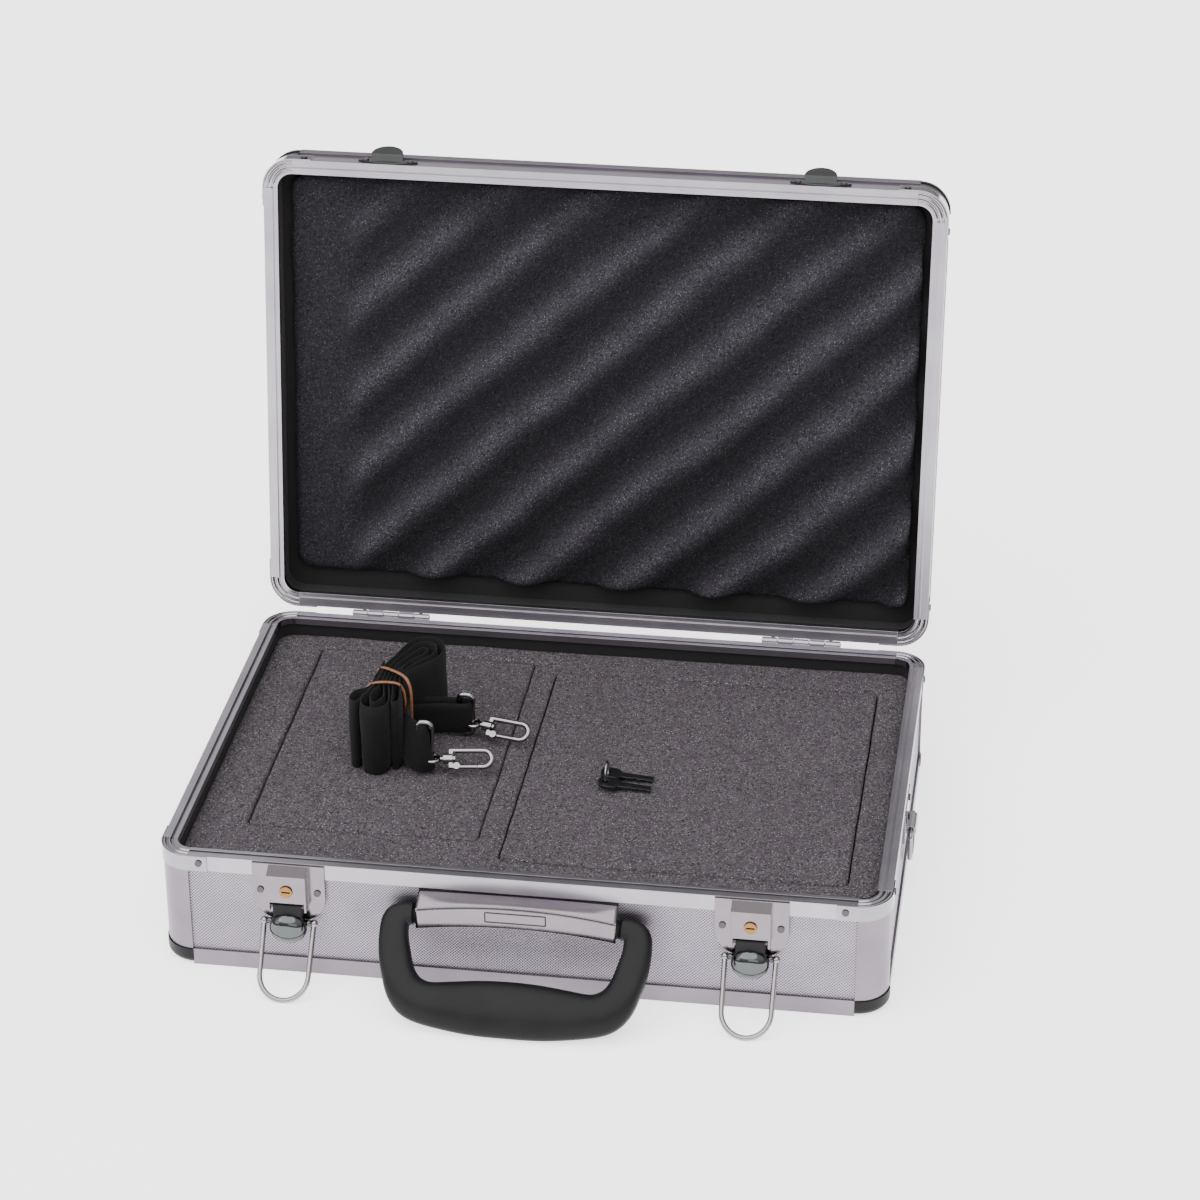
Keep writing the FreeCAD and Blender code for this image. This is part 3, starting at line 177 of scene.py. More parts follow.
def metal(name, color, rough, edge=0.3 * MM, grain=0.0006, waves=0.0, facing_shade=0.0):
    """Plated or polished metal with smudges, fine scratches and rounded edges.

    The last argument paints shade: it darkens the base colour of the faces that look up or sideways.
    """
    n = Nodes(name)
    smudge = n.noise(9 * MM, 4)
    fine = n.noise(grain, 2)
    n.set(Metallic=1.0)
    tint = n.mix(n.span(smudge, 0, 1, 0.3, 0.7), [c * 0.9 for c in color], color)
    if facing_shade:
        # painted shade: faces that look up or sideways get a darker base colour
        facing = n.add("ShaderNodeSeparateXYZ")
        n.link(n.add("ShaderNodeTexCoord").outputs["Normal"], facing.inputs[0])
        turned = n.math("MAXIMUM", facing.outputs["Z"], n.math("ABSOLUTE", facing.outputs["X"]))
        tint = n.mix(n.span(turned, 0, facing_shade, 0.12, 0.45), tint, [c * 0.12 for c in color])
    n.link(tint, n.shader.inputs["Base Color"])
    n.link(n.math("ADD", n.span(smudge, rough * 0.8, rough * 1.3), n.span(fine, 0, rough * 0.3)),
           n.shader.inputs["Roughness"])
    layers = [(fine, 0.004 * MM)]
    if waves:
        layers.append((n.noise(6 * MM, 1), waves * MM))
    n.bump(*layers, edge=edge)
    return n.material


def rail_metal(name, dark, light):
    """Satin anodised extrusion with faint drawing lines along every direction of run."""
    n = Nodes(name)
    cloud = n.noise(30 * MM, 3)
    lines_x = n.noise(1.0, 2, place=n.stretched((25, 4500, 4500)))
    lines_y = n.noise(1.0, 2, place=n.stretched((4500, 25, 4500)))
    lines = n.math("ADD", lines_x, lines_y)
    n.set(Metallic=1.0)
    n.link(n.ramp(cloud, (0.3, dark), (0.7, light)), n.shader.inputs["Base Color"])
    n.link(n.span(lines, 0.26, 0.40, 0.6, 1.4), n.shader.inputs["Roughness"])
    n.bump((lines, 0.004 * MM), edge=0.25 * MM)
    return n.material


def hatched_board(name, across, upward):
    """Aluminium-faced board with a fine raised diamond hatch in its own plane."""
    period = 1.56 * MM
    n = Nodes(name)
    u = n.along(across)
    v = n.along(upward)
    first = n.math("SINE", n.math("MULTIPLY", n.math("ADD", u, v), 2 * math.pi / period))
    second = n.math("SINE", n.math("MULTIPLY", n.math("SUBTRACT", u, v), 2 * math.pi / period))
    hatch = n.math("ADD", first, second)
    cloud = n.noise(25 * MM, 3)
    tint = n.math("ADD", n.span(hatch, 0, 0.8, -1.6, 1.6), n.math("MULTIPLY", cloud, 0.3))
    n.set(Metallic=1.0)
    n.link(n.ramp(tint, (0.15, (0.060, 0.052, 0.066)), (0.85, (0.40, 0.355, 0.42))),
           n.shader.inputs["Base Color"])
    n.link(n.span(hatch, 0.50, 0.34, -1.6, 1.6), n.shader.inputs["Roughness"])
    n.bump((n.span(hatch, 0, 1, -2, 2), 0.16 * MM))
    return n.material


def black_plastic(name, rough=0.42, grain=0.45 * MM, depth=0.05):
    """Moulded plastic with a fine spark-eroded grain."""
    n = Nodes(name)
    grains = n.cells(grain)
    cloud = n.noise(15 * MM, 3)
    n.link(n.ramp(cloud, (0.3, (0.0025, 0.0025, 0.003)), (0.7, (0.0055, 0.0055, 0.0062))),
           n.shader.inputs["Base Color"])
    n.shader.inputs["Specular IOR Level"].default_value = 0.20
    n.link(n.math("ADD", n.span(cloud, rough * 0.85, rough * 1.1), n.span(grains, 0, 0.1)),
           n.shader.inputs["Roughness"])
    n.bump((grains, depth * MM), edge=0.4 * MM)
    return n.material


def foam(name, dark, light, speck=0.9 * MM, valley_shade=False):
    """Open-cell foam: mixed specks over cloudy shade, with pores as bump.

    The last argument paints shade into the lid foam's valleys, darker than its crests.
    """
    n = Nodes(name)
    pores = n.cells(speck)
    coarse = n.noise(speck * 2.2, 3, 0.7)
    hue = n.noise(8 * MM, 4, 0.7)
    shade = n.math("ADD", n.math("MULTIPLY", pores, 0.55), n.math("MULTIPLY", coarse, 0.75))
    base = n.ramp(shade, (0.38, dark), (0.80, light))
    warm = [light[0] * 0.60, light[1] * 0.50, light[2] * 0.57]
    tinted = n.mix(n.span(hue, 0, 0.45, 0.45, 0.65), base, warm)
    sparks = n.cells(speck * 1.9)
    lit = n.mix(n.span(sparks, 0.8, 0, 0.08, 0.20), tinted, [min(c * 4.5, 1) for c in light])
    if valley_shade:
        # painted shade: the deeper parts of the ridged lid foam are mixed towards the dark colour
        depth = n.math("SUBTRACT", n.along(tuple(LID_UP)), LID_UP.dot(LID_HINGE) - LID_HINGE.z)
        low = n.span(depth, 0.0, 0.70, 66.5 * MM, 75.0 * MM)
        lit = n.mix(low, lit, dark)
    n.link(lit, n.shader.inputs["Base Color"])
    n.set(Roughness=1.0)
    n.shader.inputs["Specular IOR Level"].default_value = 0.06
    n.bump((coarse, 0.5 * MM), (pores, 0.35 * MM))
    return n.material


def felt(name):
    """Thin black lining cloth."""
    n = Nodes(name)
    fuzz = n.noise(0.7 * MM, 4, 0.8)
    n.link(n.ramp(fuzz, (0.3, (0.003, 0.003, 0.0035)), (0.75, (0.009, 0.0085, 0.010))),
           n.shader.inputs["Base Color"])
    n.set(Roughness=0.95)
    n.shader.inputs["Sheen Weight"].default_value = 0.03
    n.bump((fuzz, 0.15 * MM))
    return n.material


def webbing(name):
    """Black woven strap: ribs along it and short floats across."""
    n = Nodes(name)
    upright = n.along((0, 0, 1))
    round_it = n.along((0.8, 0.6, 0))
    warp = n.math("SINE", n.math("MULTIPLY", upright, 2 * math.pi / (1.1 * MM)))
    weft = n.math("SINE", n.math("MULTIPLY", round_it, 2 * math.pi / (1.6 * MM)))
    weave = n.math("MULTIPLY", warp, weft)
    fuzz = n.noise(0.5 * MM, 3)
    n.link(n.ramp(n.math("ADD", n.span(weave, 0, 0.5, -1, 1), n.math("MULTIPLY", fuzz, 0.5)),
                  (0.2, (0.0016, 0.0018, 0.0018)), (0.9, (0.0065, 0.007, 0.007))),
           n.shader.inputs["Base Color"])
    n.set(Roughness=0.8)
    n.shader.inputs["Specular IOR Level"].default_value = 0.2
    n.shader.inputs["Sheen Weight"].default_value = 0.04
    n.bump((weave, 0.12 * MM), (fuzz, 0.08 * MM))
    return n.material


def rubber():
    n = Nodes("rubber_band_brown")
    dust = n.noise(1.5 * MM, 3)
    n.link(n.ramp(dust, (0.3, (0.17, 0.06, 0.025)), (0.7, (0.25, 0.105, 0.05))),
           n.shader.inputs["Base Color"])
    n.set(Roughness=0.55)
    n.shader.inputs["Subsurface Weight"].default_value = 0.1
    n.bump((dust, 0.05 * MM))
    return n.material


def floor_material():
    n = Nodes("pale_floor")
    n.link(n.ramp(n.noise(0.4, 2), (0.3, (0.955, 0.955, 0.96)), (0.7, (0.97, 0.97, 0.97))),
           n.shader.inputs["Base Color"])
    n.set(Roughness=0.9)
    n.shader.inputs["Emission Color"].default_value = (1.0, 1.0, 1.0, 1)
    n.shader.inputs["Emission Strength"].default_value = 1.6
    return n.material


# the lid's own directions in the open position
LID_HINGE = Vector(JOINTS["lid_hinge"]["pos_m"])
LID_SWING = math.radians(JOINTS["lid_hinge"]["range_deg"][0])
LID_TURN = Matrix.Rotation(LID_SWING, 3, "X")
LID_UP = LID_TURN @ Vector((0, 0, 1))
LID_BACK = LID_TURN @ Vector((0, 1, 0))


def from_closed_lid(point):
    """Where a point given in the closed lid's position lies with the lid open."""
    return LID_TURN @ (Vector(point) - LID_HINGE) + LID_HINGE


X, Y, Z = (1, 0, 0), (0, 1, 0), (0, 0, 1)
rim_satin = rail_metal("satin_rim", (0.33, 0.305, 0.345), (0.41, 0.385, 0.425))
satin = rail_metal("satin_post", (0.185, 0.158, 0.19), (0.235, 0.200, 0.238))
chrome = metal("chrome_plate", (0.32, 0.30, 0.33), 0.08, waves=0.04)
# the latch plates carry painted shade on their upward and sideways faces
plate_chrome = metal("latch_chrome", (0.23, 0.20, 0.222), 0.15, waves=0.03, facing_shade=0.75)
cover_chrome = metal("cover_chrome", (0.22, 0.19, 0.215), 0.14, edge=0.0, waves=0.04)
# painted reflection: the dome's dark base colour stands in for the dark surroundings its middle mirrors
dome_chrome = metal("dome_chrome_dark_reflection", (0.10, 0.106, 0.107), 0.07, waves=0.03)
dark_chrome = metal("smoked_catch", (0.045, 0.048, 0.047), 0.14, waves=0.05)
wire_metal = metal("nickel_wire", (0.30, 0.28, 0.285), 0.12, edge=0.1 * MM)
rivet_metal = metal("rivet_zinc", (0.09, 0.08, 0.09), 0.28)
brass = metal("turned_brass", (0.28, 0.155, 0.055), 0.24)
key_metal = metal("dark_key_steel", (0.10, 0.10, 0.11), 0.28)
plastic = black_plastic("moulded_black")
grip_plastic = black_plastic("grip_black", 0.40, 0.5 * MM, 0.06)
pebbled = black_plastic("pebbled_board", 0.6, 1.6 * MM, 0.25)
case_foam = foam("base_foam_grey", (0.010, 0.0085, 0.010), (0.100, 0.090, 0.099), 0.85 * MM)
lid_foam_look = foam("lid_foam_grey", (0.0055, 0.0052, 0.0062), (0.052, 0.050, 0.059), 0.8 * MM, valley_shade=True)
black_felt = felt("black_lining_cloth")
strap_cloth = webbing("black_webbing")
band_rubber = rubber()

boards = {
    "base_front_panel": hatched_board("hatched_front", X, Z),
    "base_side_panels": hatched_board("hatched_side", Y, Z),
    "lid_top_panel": hatched_board("hatched_lid", X, tuple(LID_BACK)),
    "lid_front_panel": hatched_board("hatched_lid_front", X, tuple(LID_UP)),
    "lid_side_panels": hatched_board("hatched_lid_side", tuple(LID_BACK), tuple(LID_UP)),
}
boards["base_back_panel"] = boards["base_front_panel"]
boards["lid_back_panel"] = boards["lid_front_panel"]

LOOKS = {
    rim_satin: ["base_front_rim", "base_back_rim", "base_side_rims", "lid_front_rim",
                "lid_back_rim", "lid_side_rims"],
    satin: ["base_bottom_edges", "base_corner_posts", "lid_top_edges", "lid_corner_posts"],
    chrome: ["base_rim_corners", "lid_rim_corners", "hinge_base_leaves", "hinge_lid_leaves",
             "strap_lug_plates"],
    plate_chrome: ["latch_plate_left", "latch_plate_right"],
    dome_chrome: ["latch_lever_left", "latch_lever_right"],
    cover_chrome: ["handle_bracket"],
    dark_chrome: ["catch_hooks"],
    wire_metal: ["latch_bail_left", "latch_bail_right", "d_ring_left", "d_ring_right",
                 "strap_rings", "snap_hook_front", "snap_hook_rear", "hook_gate_front",
                 "hook_gate_rear", "swivel_eyes", "key_ring"],
    rivet_metal: ["base_rivets", "lid_rivets", "lever_pins", "handle_pins", "handle_bolts",
                  "hinge_pins"],
    brass: ["lock_cylinder_left", "lock_cylinder_right"],
    key_metal: ["keys"],
    plastic: ["base_corner_feet", "lid_corner_guards"],
    grip_plastic: ["handle_grip"],
    pebbled: ["base_bottom_panel"],
    case_foam: ["base_foam", "foam_plug_left", "foam_plug_right"],
    lid_foam_look: ["lid_foam"],
    black_felt: ["base_lining", "lid_lining"],
    strap_cloth: ["strap_webbing"],
    band_rubber: ["rubber_band"],
}


def dress(node, material):
    """Give one CAD node its material."""
    mesh = frame["nodes"][node].data
    mesh.materials.clear()
    mesh.materials.append(material)


for look, names in LOOKS.items():
    for name in names:
        dress(name, look)
for name, look in boards.items():
    dress(name, look)


# ---------------------------------------------------------------- mesh builders

def new_piece(name, verts, faces, look, smooth=True):
    """A mesh object from points in millimetres."""
    mesh = bpy.data.meshes.new(name)
    mesh.from_pydata([Vector(v) * MM for v in verts], [], faces)
    work = bmesh.new()
    work.from_mesh(mesh)
    bmesh.ops.recalc_face_normals(work, faces=work.faces)
    work.to_mesh(mesh)
    work.free()
    if smooth:
        mesh.polygons.foreach_set("use_smooth", [True] * len(mesh.polygons))
    mesh.materials.append(look)
    piece = bpy.data.objects.new(name, mesh)
    bpy.context.scene.collection.objects.link(piece)
    return piece


def spline(points, per, closed=False):
    """Smooth curve through points, with per steps between each two."""
    points = [Vector(point) for point in points]
    count = len(points)
    out = []
    for i in range(count if closed else count - 1):
        if closed:
            a, b, c, d = (points[(i + k) % count] for k in (-1, 0, 1, 2))
        else:
            a, b, c, d = (points[min(max(i + k, 0), count - 1)] for k in (-1, 0, 1, 2))
        for step in range(per):
            t = step / per
            out.append(0.5 * (2 * b + (c - a) * t + (2 * a - 5 * b + 4 * c - d) * t * t
                              + (3 * b - a - 3 * c + d) * t ** 3))
    if not closed:
        out.append(points[-1])
    return out


def skin_rings(rings, closed=False):
    """Vertices and faces that join equal rings of points; open ends are capped."""
    size = len(rings[0])
    verts = [point for ring in rings for point in ring]
    faces = []
    for i in range(len(rings) if closed else len(rings) - 1):
        j = (i + 1) % len(rings)
        for k in range(size):
            m = (k + 1) % size
            faces.append((i * size + k, i * size + m, j * size + m, j * size + k))
    if not closed:
        faces.append(tuple(range(size)))
        faces.append(tuple(reversed(range((len(rings) - 1) * size, len(rings) * size))))
    return verts, faces


def joined(parts):
    """Put several (vertices, faces) together."""
    verts, faces = [], []
    for part_verts, part_faces in parts:
        shift = len(verts)
        verts += part_verts
        faces += [tuple(index + shift for index in face) for face in part_faces]
    return verts, faces


def tube(points, across, along=None, closed=False, sides=12):
    """Bar along a path: half sizes across it, and along the vertical when it differs."""
    rings = []
    count = len(points)
    last_side = None
    for i, point in enumerate(points):
        before = points[i - 1] if closed or i else point
        after = points[(i + 1) % count] if closed or i < count - 1 else point
        heading = (after - before).normalized()
        side = heading.cross(Vector((0, 0, 1)))
        if side.length < 0.3:
            side = last_side or heading.cross(Vector((0, 1, 0)))
        if last_side and side.dot(last_side) < 0:
            side = -side
        side = (side - heading * side.dot(heading)).normalized()
        last_side = side
        up = side.cross(heading)
        rings.append([point + side * (across * math.cos(a)) + up * ((along or across) * math.sin(a))
                      for a in (2 * math.pi * k / sides for k in range(sides))])
    return skin_rings(rings, closed)


def path_length(points):
    return sum((b - a).length for a, b in zip(points, points[1:]))


def wave(x, y, z, size):
    """Smooth noise between -1 and 1 at a place in millimetres."""
    return noise.noise(Vector((x, y, z)) / size)


def smoothstep(value, low, high):
    t = min(max((value - low) / (high - low), 0), 1)
    return t * t * (3 - 2 * t)


# ---------------------------------------------------------------- foam

RIDGE_PITCH = 33.4
RIDGE_PHASE = 17.2
LUMP_PITCH = 41
RIDGE_TURN = (0.668, 0.744)
RELIEF_DEPTH = 10.5
BORDER_DEPTH = 0.24


def lid_foam_relief(x, y):
    """Height of the ridged foam over its valleys, from the closed lid's x and y."""
    turn_x, turn_y = RIDGE_TURN
    across = turn_x * x + turn_y * y - RIDGE_PHASE
    along = turn_y * x - turn_x * y
    across += 2.6 * wave(x, y, 3, 45)
    ridge = 0.5 + 0.5 * math.cos(2 * math.pi * across / RIDGE_PITCH)
    offset = math.pi * round(across / RIDGE_PITCH)
    lump = 0.5 + 0.5 * math.cos(2 * math.pi * along / LUMP_PITCH + offset)
    height = ridge ** 1.35 * (0.80 + 0.20 * lump)
    left = smoothstep(x, -137, -120)
    top = 0.35 + 0.65 * smoothstep(y, -106, -78)
    border = BORDER_DEPTH + 0.05 * wave(x, y, 9, 20)
    rise = height * top * left + border * (1 - left)
    return rise * RELIEF_DEPTH + 0.5 * wave(x, y, 0, 11)


def make_lid_foam():
    low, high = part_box("lid_foam")
    x_low, x_high = low[0] / MM, high[0] / MM
    y_low, y_high = -110.0, 103.0
    back_z, valley_z, tallest = 77.6, 75.5, 10.4
    corner = 9.0
    step = 1.6
    nx = round((x_high - x_low) / step)
    ny = round((y_high - y_low) / step)
    verts, faces = [], []
    for j in range(ny + 1):
        for i in range(nx + 1):
            x = x_low + (x_high - x_low) * i / nx
            y = y_low + (y_high - y_low) * j / ny
            rise = lid_foam_relief(x, y)
            edge = min(x - x_low, x_high - x, y - y_low, y_high - y)
            rise -= 1.8 * (1 - smoothstep(edge, 0, 3.0))
            pull = 1 - smoothstep(edge, 0, 9)
            x += pull * 0.9 * wave(x, y, 5, 14) * (1 if abs(x) > 150 else 0)
            verts.append((x, y, valley_z - min(max(rise, 0.0), tallest)))
    row = nx + 1
    for j in range(ny):
        for i in range(nx):
            a = j * row + i
            faces.append((a, a + row, a + row + 1, a + 1))
    rim = (list(range(row)) + [j * row + nx for j in range(1, ny + 1)]
           + [ny * row + i for i in range(nx - 1, -1, -1)]
           + [j * row for j in range(ny - 1, 0, -1)])
    start = len(verts)
    verts += [(verts[i][0], verts[i][1], back_z) for i in rim]
    count = len(rim)
    for k in range(count):
        m = (k + 1) % count
        faces.append((rim[k], rim[m], start + m, start + k))
    faces.append(tuple(start + k for k in range(count)))
    middle = (y_low + y_high) / 2
    shaped = []
    for x, y, z in verts:
        dx = abs(x) - (x_high - corner)
        dy = abs(y - middle) - ((y_high - y_low) / 2 - corner)
        if dx > 0 and dy > 0:
            reach = math.hypot(dx, dy)
            longest = max(dx, dy)
            scale = longest / reach
            x = math.copysign(x_high - corner + dx * scale, x)
            y = middle + math.copysign((y_high - y_low) / 2 - corner + dy * scale, y - middle)
        shaped.append(from_closed_lid(Vector((x, y, z)) * MM) / MM)
    piece = new_piece("lid_foam_sheet", shaped, faces, lid_foam_look)
    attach(piece, "lid")
    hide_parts("lid_foam")


def make_base_foam():
    """Softened copies of the three foam blocks, their tops uneven and their edges worn round."""
    lump = Vector((151, 99, 0))
    for node, body in (("base_foam", "base"), ("foam_plug_left", "foam_left"),
                       ("foam_plug_right", "foam_right")):
        source = frame["nodes"][node]
        piece = bpy.data.objects.new(node + "_soft", source.data.copy())
        bpy.context.scene.collection.objects.link(piece)
        remesh = piece.modifiers.new("cells", "REMESH")
        remesh.mode = "VOXEL"
        remesh.voxel_size = 1.3 * MM
        baked = bpy.data.meshes.new_from_object(
            piece.evaluated_get(bpy.context.evaluated_depsgraph_get()))
        piece.modifiers.clear()
        piece.data = baked
        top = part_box(node)[1][2]
        for vertex in baked.vertices:
            x, y, z = vertex.co / MM
            high = smoothstep(z, top / MM - 12, top / MM)
            rise = 0.55 * wave(x, y, 1, 38) + 0.28 * wave(x, y, 4, 12)
            rise += 1.6 * math.exp(-((x - lump.x) ** 2 + (y - lump.y) ** 2) / 160)
            vertex.co.z += (rise - 0.35) * high * MM
            vertex.co.x += 0.3 * wave(x, y, z, 15) * MM * high
        baked.polygons.foreach_set("use_smooth", [True] * len(baked.polygons))
        baked.materials.clear()
        baked.materials.append(case_foam)
        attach(piece, body)
        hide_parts(node)


# ---------------------------------------------------------------- shoulder strap

STRAP_LOW, STRAP_HIGH = 51.8, 89.6


def ribbon(plan, low, high, thick=1.4, per=10, lean=0.0):
    """Webbing standing on edge along a plan path, with soft edges and a slight wave."""
    line = spline([(x, y, 0) for x, y in plan], per)
    rows = 7
    rings = []
    for i, point in enumerate(line):
        before = line[max(i - 1, 0)]
        after = line[min(i + 1, len(line) - 1)]
        heading = (after - before).normalized()
        side = Vector((-heading.y, heading.x, 0))
        ring = []
        for turn in (1, -1):
            for row in range(rows):
                share = row / (rows - 1) if turn > 0 else 1 - row / (rows - 1)
                rounding = math.sqrt(max(1 - (2 * share - 1) ** 12, 0.12))
                z = low + (high - low) * share
                z += 0.5 * wave(point.x, point.y, 7, 16)
                bulge = 0.45 * wave(point.x, point.y, z, 13) + lean * (share - 0.5)
                offset = side * (turn * thick / 2 * rounding + bulge)
                ring.append(Vector((point.x, point.y, z)) + offset)
        rings.append(ring)
    return skin_rings(rings), path_length(line)


def squashed(piece):
    """Strap pieces lie on the foam and ride the strap body, each with its own copy of its mesh."""
    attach(piece, "strap")
    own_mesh(piece)


def make_strap():
    folds = [
        [(-91.5, 26), (-92.5, 12), (-93.5, 0), (-100, -6), (-101, -13), (-98, -16), (-96, -12),
         (-93, -3), (-91, 10)],
        [(-90, 20), (-91, 4), (-95, -8), (-94, -18), (-88, -21.5), (-82.5, -18), (-82, -8),
         (-85, 4), (-84, 18)],
        [(-88.5, 14), (-89, 2), (-91.5, -8), (-88.5, -16), (-85, -9), (-87, 2), (-86.5, 14)],
        [(-83, 20), (-82.5, 4), (-81, -8), (-79.5, -15), (-76.8, -12), (-77.5, -2), (-80.5, 8),
         (-81, 20)],
        [(-91.5, 10), (-90, 22), (-87, 32), (-84, 42), (-78.5, 50.5), (-69.5, 51.5), (-64.5, 45),
         (-65, 35), (-70, 26), (-77, 18), (-80, 10)],
        [(-88.5, 14), (-86.5, 25), (-83, 35), (-79, 44), (-73, 47.5), (-68.5, 43.5), (-69, 35.5),
         (-75, 26), (-81, 14)],
        [(-86, 14), (-83.5, 25), (-79.5, 34), (-75, 41), (-72.2, 39.5), (-74, 34), (-79.5, 25),
         (-83.5, 14)],
    ]
    parts = []
    for plan in folds:
        part, length = ribbon(plan, STRAP_LOW, STRAP_HIGH)
        parts.append(part)
    tails = [
        ([(-78.5, 14), (-77.4, 6), (-76.8, -1), (-75.0, -8), (-71.0, -13.8), (-65.5, -16.8),
          (-61.6, -15.2), (-62.4, -12.6), (-66.8, -11.6), (-71.2, -7), (-73.4, 0), (-75.0, 10)],
         54.0, 79.0, 4.0),
        ([(-77, 15), (-70, 17.6), (-60, 19.4), (-51.5, 19.9), (-48, 21.5), (-48.2, 23.8),
          (-52, 25.2), (-62, 25.0), (-72, 23), (-77, 20)], 54.0, 71.0, -1.0),
    ]
    for plan, low, high, lean in tails:
        part, length = ribbon(plan, low, high, lean=lean)
        parts.append(part)
    strap = new_piece("shoulder_strap", *joined(parts), strap_cloth)
    squashed(strap)
    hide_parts("strap_webbing")


def band_loop(corners, lean):
    """Rubber band round the bundle: an upright loop, its plane turned by lean about Z."""
    points = []
    for x, z in corners:
        points.append((x, lean[0] + (x + 84) * lean[1] + 0.5 * wave(x, z, 1, 9), z))
    return tube(spline(points, 6, closed=True), 0.85, 0.6, closed=True)


def make_bands():
    outline = [(-96.5, 56), (-97, 70), (-96.2, 82), (-93.5, 88.6), (-88, 90.9), (-80, 90.9),
               (-76.8, 88.0), (-75.6, 82), (-75.8, 70), (-76.5, 56), (-80, 52.2), (-90, 52.2)]
    loops = [band_loop([(x - 1, z - 0.6) for x, z in outline], (2.5, 0.02)),
             band_loop([(x + 1.5, z) for x, z in outline], (13.0, -0.75))]
    bands = new_piece("rubber_bands", *joined(loops), band_rubber)
    squashed(bands)
    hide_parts("rubber_band")


def make_strap_rings():
    wide, bend = 3.5, 2.6
    loops = []
    for x, y, middle, tall in ((-64, -14, 66.5, 12.5), (-50, 22.5, 64.0, 10.8)):
        points = []
        for cx, cz, start in ((1, 1, 0), (-1, 1, 90), (-1, -1, 180), (1, -1, 270)):
            for step in range(5):
                angle = math.radians(start + 22.5 * step)
                points.append(Vector((x + cx * (wide - bend) + bend * math.cos(angle), y,
                                      middle + cz * (tall - bend) + bend * math.sin(angle))))
        loops.append(tube(points, 1.35, closed=True))
    rings = new_piece("strap_end_rings", *joined(loops), wire_metal)
    squashed(rings)
    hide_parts("strap_rings")


# ---------------------------------------------------------------- handle

PIVOT = Vector((0, -124.2, 41.0))
HANDLE_LEAN = math.radians(44)


def make_grip():
    """Moulded grip: rounded sections from the inner edge to the outer edge of the C."""
    outer = [(49.2, -5), (53.5, -5), (59.5, -2.9), (63.2, 2.2), (64, 10), (63.2, 20), (60.8, 30),
             (57.4, 39.4), (51.8, 46.4), (44, 50.4), (31, 53.0), (16, 54.7), (0, 55)]
    inner = [(49.2, 5), (50.0, 5.0), (50.6, 5.6), (50.6, 8), (50.0, 12), (48.2, 18.5),
             (46.6, 23.5), (44.4, 27.6), (41.4, 30.2), (36.7, 31.4), (27, 30.4), (14, 29.0),
             (0, 28.5)]
    outer += [(-x, s) for x, s in reversed(outer[:-1])]
    inner += [(-x, s) for x, s in reversed(inner[:-1])]
    outer_line = spline([(x, s, 0) for x, s in outer], 6)
    inner_line = spline([(x, s, 0) for x, s in inner], 6)
    down = Vector((0, -math.sin(HANDLE_LEAN), -math.cos(HANDLE_LEAN)))
    normal = Vector((0, -math.cos(HANDLE_LEAN), math.sin(HANDLE_LEAN)))
    sides = 36
    rings = []
    for out, inside in zip(outer_line, inner_line):
        middle_s = (out.y + inside.y) / 2
        thick = 10.0 + 3.6 * smoothstep(middle_s, 18, 40)
        power = 0.62 + 0.14 * smoothstep(middle_s, 14, 38)
        ring = []
        for k in range(sides):
            angle = 2 * math.pi * k / sides
            c, h = math.cos(angle), math.sin(angle)
            across = 0.5 + 0.5 * math.copysign(abs(c) ** power, c)
            lift = thick / 2 * math.copysign(abs(h) ** power, h)
            taper = 1 - 0.30 * smoothstep(across, 0.55, 1.0) * smoothstep(middle_s, 25, 40)
            flat = inside.lerp(out, across)
            ring.append(PIVOT + Vector((flat.x, 0, 0)) + down * flat.y + normal * lift * taper)
        rings.append(ring)
    verts, faces = skin_rings(rings)
    parts = [(verts, faces)]
    for side in (-1, 1):
        boss = [PIVOT + Vector((side * x, 0, 0)) for x in (38.4, 44, 49.6)]
        rings = [[point + Vector((0, 4.5 * math.cos(a), 4.5 * math.sin(a)))
                  for a in (2 * math.pi * k / 24 for k in range(24))] for point in boss]
        parts.append(skin_rings(rings))
    grip = new_piece("carry_grip", *joined(parts), grip_plastic)
    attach(grip, "handle")
    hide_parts("handle_grip")


